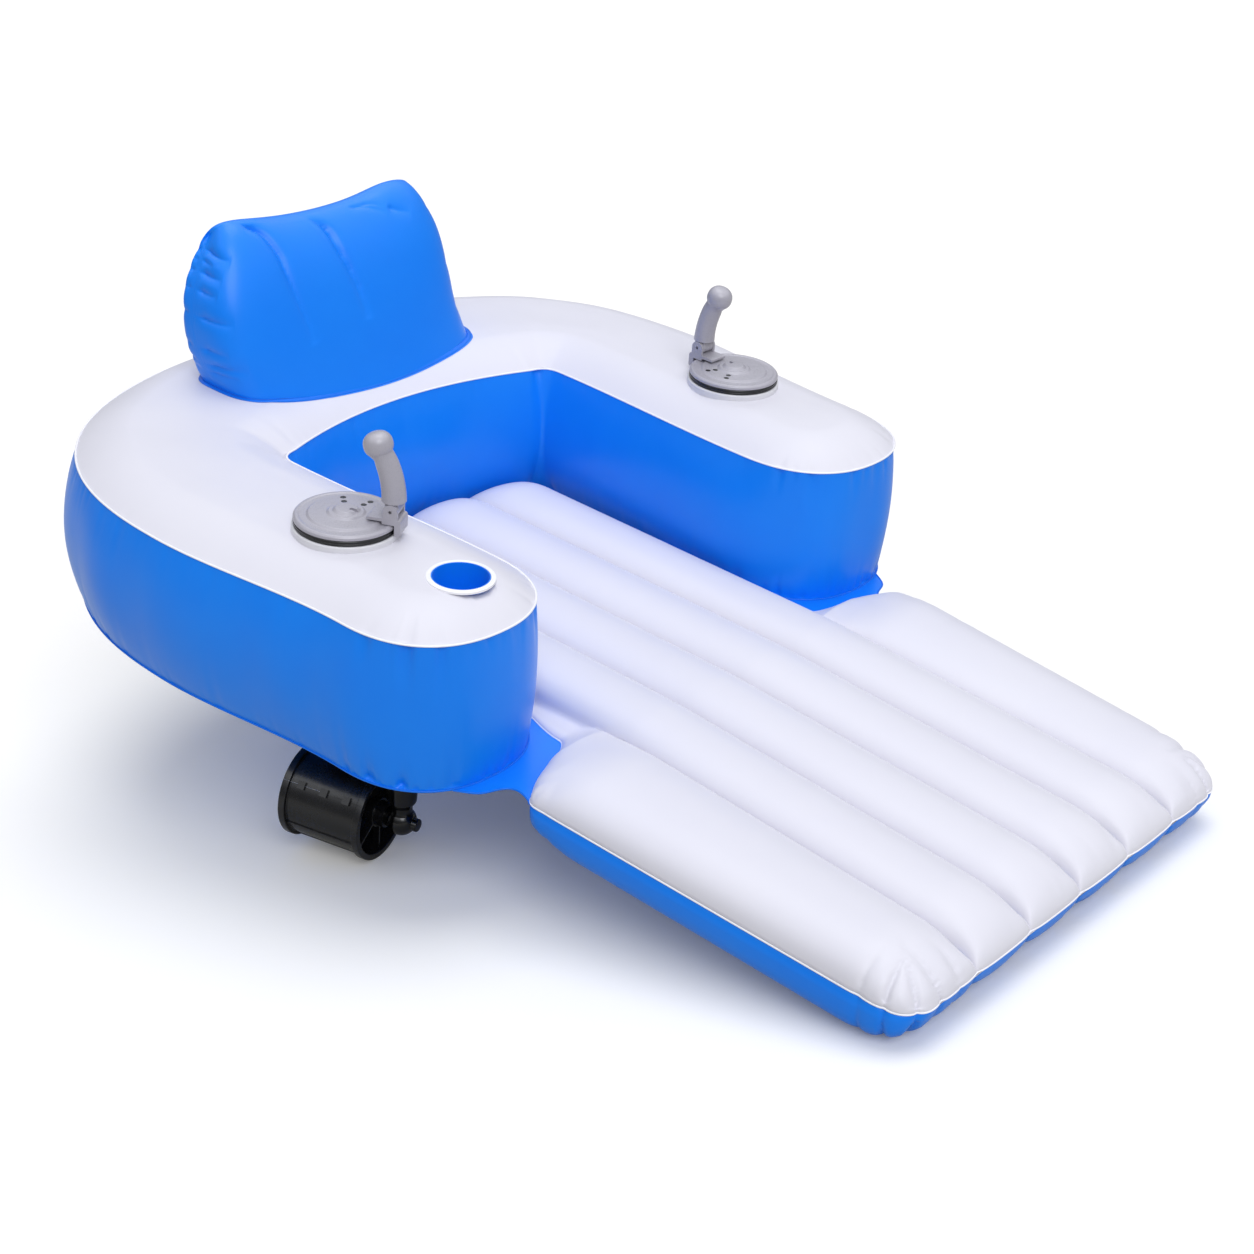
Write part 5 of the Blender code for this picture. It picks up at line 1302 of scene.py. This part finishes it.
COVER_RADIUS = 0.0730
profile = [(0.0, COVER_BOSS), (0.0150, COVER_BOSS, 0.0022), (0.0195, COVER_DISH, 0.0020)]
profile += [(0.0240, COVER_DISH, 0.0016), (0.0275, COVER_STEP, 0.0018)]
profile += [(0.0520, COVER_STEP, 0.0020), (0.0550, COVER_RIM, 0.0016)]
profile += [(0.0640, COVER_RIM, 0.0014), (0.0662, COVER_RIM + 0.0008, 0.0012)]
profile += [(0.0700, COVER_RIM + 0.0008, 0.0020), (COVER_RADIUS, COVER_RIM - 0.0022, 0.0024)]
profile += [(COVER_RADIUS, COVER_LOW, 0.0012), (0.0, COVER_LOW)]
cover = lathe(rounded(profile, 0.001, closed=False, steps=5), closed=False)
cover = cover.object("steering_cover", GREY, 50)
SCREW_RINGS, SCREW_START, SCREW_STEP = (0.0335, 0.0465), MOUNT_TURN - 27.0, 51.0
SCREW_HOLE, SCREW_HEAD = 0.0044, 0.0041
cuts = []
for turn in (SCREW_START, SCREW_START + SCREW_STEP):
    angle = math.radians(turn)
    for radius in SCREW_RINGS:
        at = (radius * math.cos(angle), radius * math.sin(angle))
        cuts.append(rod(SCREW_HOLE, COVER_STEP - 0.0045, COVER_BOSS, at=at))
cuts.append(box_object((-0.003, -0.020, COVER_DISH + 0.0004), (0.003, -0.006, COVER_BOSS + 0.01)))
cover = in_both(joined(cover, cuts, "DIFFERENCE"))
print("flanges, gaskets and covers")

# %% [markdown]
# ## Handle
# The handle's column and knob are one soft moulding, so they are one loft along a leaning line: a
# radius for each height, and a ball at its end. It is joined to a barrel that turns on the pin.

# %% Lever and bracket
PIVOT_OUT, PIVOT_UP = 0.068, COVER_BOSS + 0.0115
PIVOT = Matrix.Translation((0.0, -PIVOT_OUT, PIVOT_UP))
BARREL, PIN_HOLE = 0.0105, 0.0027
LEAN, NECK_LOW, KNOB_UP = 0.0235, 0.0111, 0.0900
FOOT_RADIUS, NECK_RADIUS, KNOB_RADIUS = 0.0172, 0.0155, 0.0208
HANDLE_STEPS = 48


def tilted_ring(shell, radius, turn, y, z, tilt):
    """A ring about a line that leans in y, square to the line."""
    across = radius * np.sin(turn)
    ring = [radius * np.cos(turn), y + across * math.cos(tilt), z - across * math.sin(tilt)]
    return shell.add(np.stack(ring, axis=1))


def column():
    """The leaning column, waisted under the knob, and the knob itself, as one loft."""
    shell = Shell()
    turn = np.arange(HANDLE_STEPS) * math.tau / HANDLE_STEPS
    rise = KNOB_UP - NECK_LOW
    stack = []
    for share in np.linspace(0.0, 1.0, 26):
        radius = FOOT_RADIUS + (NECK_RADIUS - FOOT_RADIUS) * share
        radius *= 1.0 - 0.07 * math.exp(-(((share - 0.84) / 0.10) ** 2))
        y, z = LEAN * share**2, NECK_LOW + rise * share
        ridge = radius * (1 + 0.030 * np.cos(4 * turn) * math.sin(math.pi * share))
        if math.hypot(y - LEAN, z - KNOB_UP) >= 0.0145:
            stack.append(tilted_ring(shell, ridge, turn, y, z, math.atan2(2 * LEAN * share, rise)))
    lean = math.atan2(2 * LEAN, rise) * 0.6
    for step in range(19):
        angle = -math.radians(42.0) + math.radians(132.0) * step / 18
        wide, up = math.cos(angle), math.sin(angle)
        up = KNOB_RADIUS * (0.90 if up > 0 else 0.78) * math.copysign(abs(up) ** 0.9, up)
        y, z = LEAN + up * math.sin(lean), KNOB_UP + up * math.cos(lean)
        stack.append(tilted_ring(shell, KNOB_RADIUS * abs(wide) ** 0.8, turn, y, z, lean))
    shell.stack(stack)
    shell.faces.append(tuple(stack[0]))
    return shell.object("steering_handle", GREY, 60)


def across_rod(radius, half, material=GREY, bevel=0.0008):
    """A rod along X."""
    profile = [(0.0, -half), (radius, -half, bevel), (radius, half, bevel), (0.0, half)]
    shell = lathe(rounded(profile, bevel, closed=False), 48, closed=False)
    for points in shell.points:
        points[:] = points[:, [2, 1, 0]] * (1, 1, -1)
    return shell.object("rod", material, 30)


barrel = across_rod(BARREL, 0.012)
tongue = box_object((-0.0114, -0.0095, 0.0), (0.0114, 0.0095, 0.0129))
handle = joined(column(), [tongue, barrel])
handle = joined(handle, [across_rod(PIN_HOLE, 0.02)], "DIFFERENCE")
handle = in_both(handle, MOUNT @ PIVOT)


def slab(outline, low, high, material=GREY):
    """An outline of (y outwards, z) extruded along X, in the frame of the handle's mount."""
    shell = Shell()
    first = shell.add([(low, -y, z) for y, z in outline])
    second = shell.add([(high, -y, z) for y, z in outline])
    shell.band(first, second)
    shell.faces += [tuple(first), tuple(second)]
    return shell.object("slab", material, 30)


EAR_INSIDE, EAR_OUTSIDE = 0.0126, 0.0171
deck = PIVOT_UP - BARREL - 0.0006
foot_low = FLANGE_TOP + 0.0005
over_dish, over_rim = COVER_DISH + GAP, COVER_RIM + 0.0018
outline = [(0.034, over_dish), (0.034, deck, 0.006), (0.083, deck, 0.005), (0.083, foot_low, 0.006)]
outline += [(0.074, foot_low), (0.074, over_rim), (0.0563, over_rim), (0.0563, over_dish)]
bracket = slab(rounded(outline, 0.0003), -EAR_OUTSIDE, EAR_OUTSIDE)
bracket.name = "handle_bracket_shell"
turn = np.linspace(math.pi, 0.0, 25)
arch = [(PIVOT_OUT + BARREL * math.cos(a), PIVOT_UP + BARREL * math.sin(a)) for a in turn]
arch = [(PIVOT_OUT - BARREL, deck - 0.002), *arch, (PIVOT_OUT + BARREL, deck - 0.002)]
ears = [slab(arch, -EAR_OUTSIDE, -EAR_INSIDE), slab(arch, EAR_INSIDE, EAR_OUTSIDE)]
bracket = in_both(joined(bracket, ears), MOUNT)
print("handles and brackets")

# %% [markdown]
# ## Below the arm
# Each drive reaches under the arm to a ball elbow. From it hangs a motor pod inside an open duct. The
# duct's lower shell carries spokes to the pod, and a saddle is clipped over its open top with three
# hooks on each side.

# %% The pylon and its ball elbow
PYLON_Y = -0.100
BALL, NECK = 0.0225, 0.0155
BASE_HIGH = UNDERSIDE - GAP - 0.007 - 0.0005 - GAP
BASE_LOW = BASE_HIGH - 0.013


def make_pylon():
    top = BASE_LOW - GAP
    neck_top = DEPTH + math.sqrt(BALL**2 - NECK**2) + 0.010
    profile = [(0.0, top), (0.027, top, 0.002), (0.0215, neck_top + 0.010, 0.004)]
    profile += [(NECK, neck_top, 0.003), (NECK, neck_top - 0.008, 0.001)]
    start = math.acos(NECK / BALL)
    for step in range(1, 25):
        angle = start - (start + math.pi / 2) * step / 24
        profile.append((max(BALL * math.cos(angle), 0.0), DEPTH + BALL * math.sin(angle), 0.00005))
    profile[-1] = (0.0, DEPTH - BALL)
    body = lathe(rounded(profile, 0.001, closed=False, steps=3), 64, closed=False)
    body = body.moved((0.0, PYLON_Y, 0.0)).object("ball_elbow", GLOSS, 40)
    reach = BALL + 2 * GAP - 0.0005
    stub = lathe([(0.0, -reach), (NECK, -reach), (NECK, 0.0), (0.0, 0.0)], 48, closed=False)
    cap = [(0.0, 0.0), (0.0100, 0.0), (0.0100, 0.0285, 0.0016), (0.0, 0.0285)]
    cap = lathe(rounded(cap, 0.0005, closed=False), 48, closed=False)
    where = Matrix.Translation((0.0, PYLON_Y, DEPTH)) @ Matrix.Rotation(math.pi / 2, 4, "X")
    parts = []
    for shell in (stub, cap):
        part = shell.object("part", GLOSS, 30)
        part.data.transform(where)
        parts.append(part)
    return joined(body, parts)


pylon = in_both(make_pylon())
print("ball elbows")

# %% [markdown]
# ## The duct and the propeller
# The duct is drawn about its own axis. Ribs and hooks repeat round it or along it, so a small tree
# sets copies of one block round the axis: its inputs are how many there are, the radius, the first
# angle and the step from one to the next.

# %% Copies round an axis
ring_inputs = {"Block": "Object", "Count": "Int", "Radius": "Float", "Start": "Float"}
ring_inputs.update({"Step": "Float", "Lift": "Float", "Material": "Material"})
ring_tree, ring = tree_of("copies_round_axis", ring_inputs)
spots = node(ring_tree, "GeometryNodePoints", None, {"Count": ring["Count"]})
index = node(ring_tree, "GeometryNodeInputIndex")
angle = index * ring["Step"] + ring["Start"]
spot = {"X": angle.math("COSINE", angle) * ring["Radius"], "Z": ring["Lift"]}
spot["Y"] = angle.math("SINE", angle) * ring["Radius"]
spot = node(ring_tree, "ShaderNodeCombineXYZ", None, spot)
spots = node(ring_tree, "GeometryNodeSetPosition", None, {"Geometry": spots, "Position": spot})
block = node(ring_tree, "GeometryNodeObjectInfo", None, {"Object": ring["Block"]}, output=4)
facing = node(ring_tree, "ShaderNodeCombineXYZ", None, {"Z": angle})
copies = {"Points": spots, "Instance": block, "Rotation": facing}
copies = node(ring_tree, "GeometryNodeInstanceOnPoints", None, copies)
close_tree(ring_tree, copies, ring["Material"])


def round_axis(name, block, count, radius, start, step, lift=0.0, material=BLACK):
    """Copies of a block round Z, as one object. Angles are in degrees."""
    values = {"Block": block, "Count": count, "Radius": radius, "Lift": lift}
    values.update({"Start": math.radians(start), "Step": math.radians(step)})
    base = path_object([(0.0, 0.0, 0.0), (0.0, 0.0, 0.1)], closed=False)
    item = grown(base, ring_tree, values, name, material, 30)
    bpy.data.objects.remove(block)
    return item


DUCT_HALF, DUCT_R, DUCT_WALL, RIM_R, RIM_W = 0.0685, 0.067, 0.0035, 0.0726, 0.011


def arc_shell(start, sweep, steps):
    """Part of the duct's wall, with its two raised rims, from one angle round to another."""
    inner, rim = DUCT_R - DUCT_WALL, DUCT_HALF - RIM_W
    section = [(inner, -DUCT_HALF), (RIM_R, -DUCT_HALF), (RIM_R, -rim), (DUCT_R, -rim)]
    section += [(DUCT_R, rim), (RIM_R, rim), (RIM_R, DUCT_HALF), (inner, DUCT_HALF)]
    section = np.array(rounded(section, 0.0012))
    shell = Shell()
    rings = []
    for angle in np.radians(start + sweep * np.arange(steps + 1) / steps):
        ring = [section[:, 0] * math.cos(angle), section[:, 0] * math.sin(angle), section[:, 1]]
        rings.append(shell.add(np.stack(ring, axis=1)))
    shell.stack(rings)
    shell.faces += [tuple(rings[0]), tuple(rings[-1])]
    return shell


heads = []
for radius in SCREW_RINGS:
    head = rod(SCREW_HEAD, COVER_STEP - 0.0044, COVER_STEP - 0.0003)
    heads.append(round_axis("cover_screws", head, 2, radius, SCREW_START, SCREW_STEP))
screws = in_both(joined(heads[0], heads[1:]))

SADDLE_START, SADDLE_STOP, CLIP_RADIUS, CLIP_STEP = 38.0, 142.0, 0.0673, 0.0383
lower = arc_shell(142.26, 255.48, 120).object("duct_shell", BLACK, 40)
profile = [(0.0193, 0.063), (0.0223, 0.063), (0.0223, 0.051), (0.0193, 0.051)]
collar = lathe(rounded(profile, 0.0006), 64).object("collar", BLACK, 40)
spoke = box_object((0.0, -0.0015, 0.0515), (0.0445, 0.0015, 0.0625), BLACK)
spokes = round_axis("spokes", spoke, 3, 0.021, -150, 60)
rib = box_object((-0.001, -0.0015, -0.0605), (0.0016, 0.0015, 0.0605), BLACK)
ribs = round_axis("ribs", rib, 5, DUCT_R, -160, 35)
duct = in_both(joined(lower, [collar, spokes, ribs]), THRUST)
saddle = arc_shell(SADDLE_START, SADDLE_STOP - SADDLE_START, 60).object("duct_saddle_shell", BLACK, 40)
hooks = []
for start, root in ((SADDLE_START, (0.003, 0.006)), (SADDLE_STOP, (-0.006, -0.003))):
    for hook in (-1, 0, 1):
        low, high = hook * CLIP_STEP - 0.006, hook * CLIP_STEP + 0.006
        clip = box_object((0.0, -0.006, low), (0.003, 0.006, high), BLACK)
        hooks.append(round_axis("clip", clip, 1, CLIP_RADIUS, start, 0))
        block = box_object((-0.0015, root[0], low), (0.0015, root[1], high), BLACK)
        hooks.append(round_axis("root", block, 1, CLIP_RADIUS, start, 0))
saddle = in_both(joined(saddle, hooks), THRUST)
print("ducts and saddles")

# %% [markdown]
# ## Camera, light and floor
# The camera stands where the photograph's did. The chair lies as it would on a floor: on its two
# ducts and the foot of its mattress.

# %% Camera, lamps and floor


def aim(place, heading, tilt, roll):
    """A camera's matrix from its place and its heading, downward tilt and roll in degrees."""
    h, t, r = (math.radians(v) for v in (heading, tilt, roll))
    forward = Vector((math.sin(h) * math.cos(t), math.cos(h) * math.cos(t), -math.sin(t)))
    right = Vector((math.cos(h), -math.sin(h), 0.0))
    up = right.cross(forward)
    side = right * math.cos(r) + up * math.sin(r)
    top = up * math.cos(r) - right * math.sin(r)
    turned = Matrix((side, top, -forward)).transposed().to_4x4()
    turned.translation = Vector(place)
    return turned


EYE, HEADING, TILT, ROLL = (-2.1345, -1.9458, 1.5624), 50.2007, 29.0043, 4.7523
lens = bpy.data.cameras.new("view")
lens.sensor_width = 36.0
lens.lens = 59.776
camera = shown("view", lens)
camera.matrix_world = aim(EYE, HEADING, TILT, ROLL)
bpy.context.scene.camera = camera
STUDIO_WHITE = (0.96, 0.985, 1.03)


def lamp(name, towards, spread, strength):
    """A far lamp as wide as a softbox looks from the chair: its spread is in degrees."""
    light = bpy.data.lights.new(name, "SUN")
    light.angle = math.radians(spread)
    light.energy = strength
    light.color = STUDIO_WHITE
    shown(name, light).rotation_euler = Vector(towards).to_track_quat("Z", "Y").to_euler()


lamp("overhead", (0.6, 0.5, 5.0), 40.0, 1.10)
lamp("camera_side", (-1.3, -1.9, 2.5), 35.0, 1.25)


def emptied(owner):
    """The tree of a world or a material, with no nodes in it."""
    owner.use_nodes = True
    owner.node_tree.nodes.clear()
    return owner.node_tree


FILL, SEEN_WHITE, BOX_GLOW = 0.48, 0.75, 3.0
world = bpy.data.worlds.new("studio")
bpy.context.scene.world = world
tree = emptied(world)
rays = node(tree, "ShaderNodeLightPath")
mirror = Link(tree, rays.socket.node.outputs["Is Glossy Ray"])
through = Link(tree, rays.socket.node.outputs["Is Transmission Ray"])
seen = rays.math("MAXIMUM", rays, through)
direction = node(tree, "ShaderNodeTexCoord")
height = node(tree, "ShaderNodeSeparateXYZ", None, {"Vector": direction}, output=2)
softbox = {"Value": height, "From Min": 0.25, "From Max": 0.90, "To Min": 0.25, "To Max": BOX_GLOW}
softbox = node(tree, "ShaderNodeMapRange", {"interpolation_type": "SMOOTHSTEP"}, softbox)
strength = seen * SEEN_WHITE + mirror * (softbox - FILL) + FILL
both = node(tree, "ShaderNodeBackground", None, {"Color": (*STUDIO_WHITE, 1.0), "Strength": strength})
node(tree, "ShaderNodeOutputWorld", None, {"Surface": both})


def resting_plane():
    """The plane, rising towards the foot, on which the ducts and the mattress lie."""
    ducts = np.concatenate([[v.co[:] for v in duct[side].data.vertices] for side in SIDES])
    foot = np.array([v.co[:] for v in mattress_lower.data.vertices])
    low, high = 0.0, 0.5
    for _ in range(30):
        rise = (low + high) / 2
        level = (ducts[:, 2] + rise * ducts[:, 1]).min()
        if (foot[:, 2] + rise * foot[:, 1]).min() > level:
            low = rise
        else:
            high = rise
    print(f"the floor rises by {rise:.3f} m in each metre towards the foot")
    return math.atan(rise), level - 0.0005


FLOOR_REACH = 6
FLOOR_MATT, FLOOR_PALE, FLOOR_LIFT = (0.62, 0.60, 0.55, 1.0), (1.0, 0.975, 0.93, 1.0), 0.06


def make_floor():
    """A pale floor under the ducts and the foot, tilted as the chair stands."""
    slope, low = resting_plane()
    centre = Vector((0.0, 0.0, low))
    along = Vector((0.0, math.cos(slope), -math.sin(slope)))
    corners = [(x * FLOOR_REACH, y * FLOOR_REACH) for x, y in ((-1, -1), (1, -1), (1, 1), (-1, 1))]
    corners = [centre + Vector((x, 0.0, 0.0)) + along * -y for x, y in corners]
    shell = Shell()
    shell.faces.append(tuple(shell.add([c[:] for c in corners])))
    material = bpy.data.materials.new("pale_floor")
    tree = emptied(material)
    rays = node(tree, "ShaderNodeLightPath")
    matt = node(tree, "ShaderNodeBsdfDiffuse", None, {"Color": FLOOR_MATT})
    pale = node(tree, "ShaderNodeBsdfDiffuse", None, {"Color": FLOOR_PALE})
    lift = node(tree, "ShaderNodeEmission", None, {"Color": (1.0,) * 4, "Strength": FLOOR_LIFT})
    pale = node(tree, "ShaderNodeAddShader", None, {0: pale, 1: lift})
    total = node(tree, "ShaderNodeMixShader", None, {0: rays, 1: matt, 2: pale})
    node(tree, "ShaderNodeOutputMaterial", None, {"Surface": total})
    shell.object("studio_floor", material)


make_floor()
bpy.context.scene.view_settings.view_transform = "Standard"
print("camera, lamps and floor")

# %% [markdown]
# ## Which piece stands for which CAD node
# Every new piece rides on a CAD body, takes the place of the plain solid that it shows, and says which
# finish it has.

# %% Riding, replacing and finishes
FLOAT_PIECES = [
    (float_top_sheet, ["float_top_panel"], "white_vinyl"),
    (float_side_sheet, ["float_walls", "sleeve_right", "sleeve_left"], "blue_vinyl"),
    (top_seam_bead, [], "white_vinyl"),
    (low_seam_bead, [], "blue_vinyl"),
    (mattress_upper, ["mattress_top_panel"], "white_vinyl"),
    (mattress_lower, ["mattress_underside"], "blue_vinyl"),
    (mattress_seam_bead, [], "white_vinyl"),
    (backrest_cushion, ["backrest"], "blue_vinyl"),
    (backrest_band, ["backrest_weld"], "blue_vinyl"),
    (cup_pocket, ["cup_pocket"], "blue_vinyl"),
    (cup_ring, ["cup_ring"], "white_vinyl"),
    (webs["right"][0], ["gusset_right"], "blue_vinyl"),
    (webs["left"][0], ["gusset_left"], "blue_vinyl"),
    (webs["right"][1], [], "blue_vinyl"),
    (webs["left"][1], [], "blue_vinyl"),
]
for piece, nodes, finish in FLOAT_PIECES:
    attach(piece, "float")
    if nodes:
        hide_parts(*nodes)
for side in SIDES:
    for pieces, stem, body, finish in (
        (flange, "mount_flange_", "float", "white_plastic"),
        (gasket, "gasket_", "float", "black_rubber"),
        (cover, "cover_", "drive_" + side, "grey_plastic"),
        (screws, None, "drive_" + side, "black_plastic"),
        (handle, "handle_", "handle_" + side, "grey_plastic"),
        (bracket, "handle_bracket_", "drive_" + side, "grey_plastic"),
        (pylon, "pylon_", "drive_" + side, "black_plastic"),
        (duct, "duct_", "drive_" + side, "black_plastic"),
        (saddle, "duct_saddle_", "drive_" + side, "black_plastic"),
    ):
        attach(pieces[side], body)
        if stem:
            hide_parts(stem + side)
FINISH = {
    "white_vinyl": WHITE,
    "blue_vinyl": BLUE,
    "valve_vinyl": CLEAR,
    "grey_plastic": GREY,
    "white_plastic": PALE,
    "black_plastic": BLACK,
    "black_rubber": RUBBER,
    "battery_steel": STEEL,
    "pin_steel": STEEL,
}
for part in frame["record"]["subparts"]:
    item = frame["nodes"][part["node"]]
    if item.data.materials:
        item.data.materials[0] = FINISH[part["material_slot"]]
print("rides, replacements and finishes done")
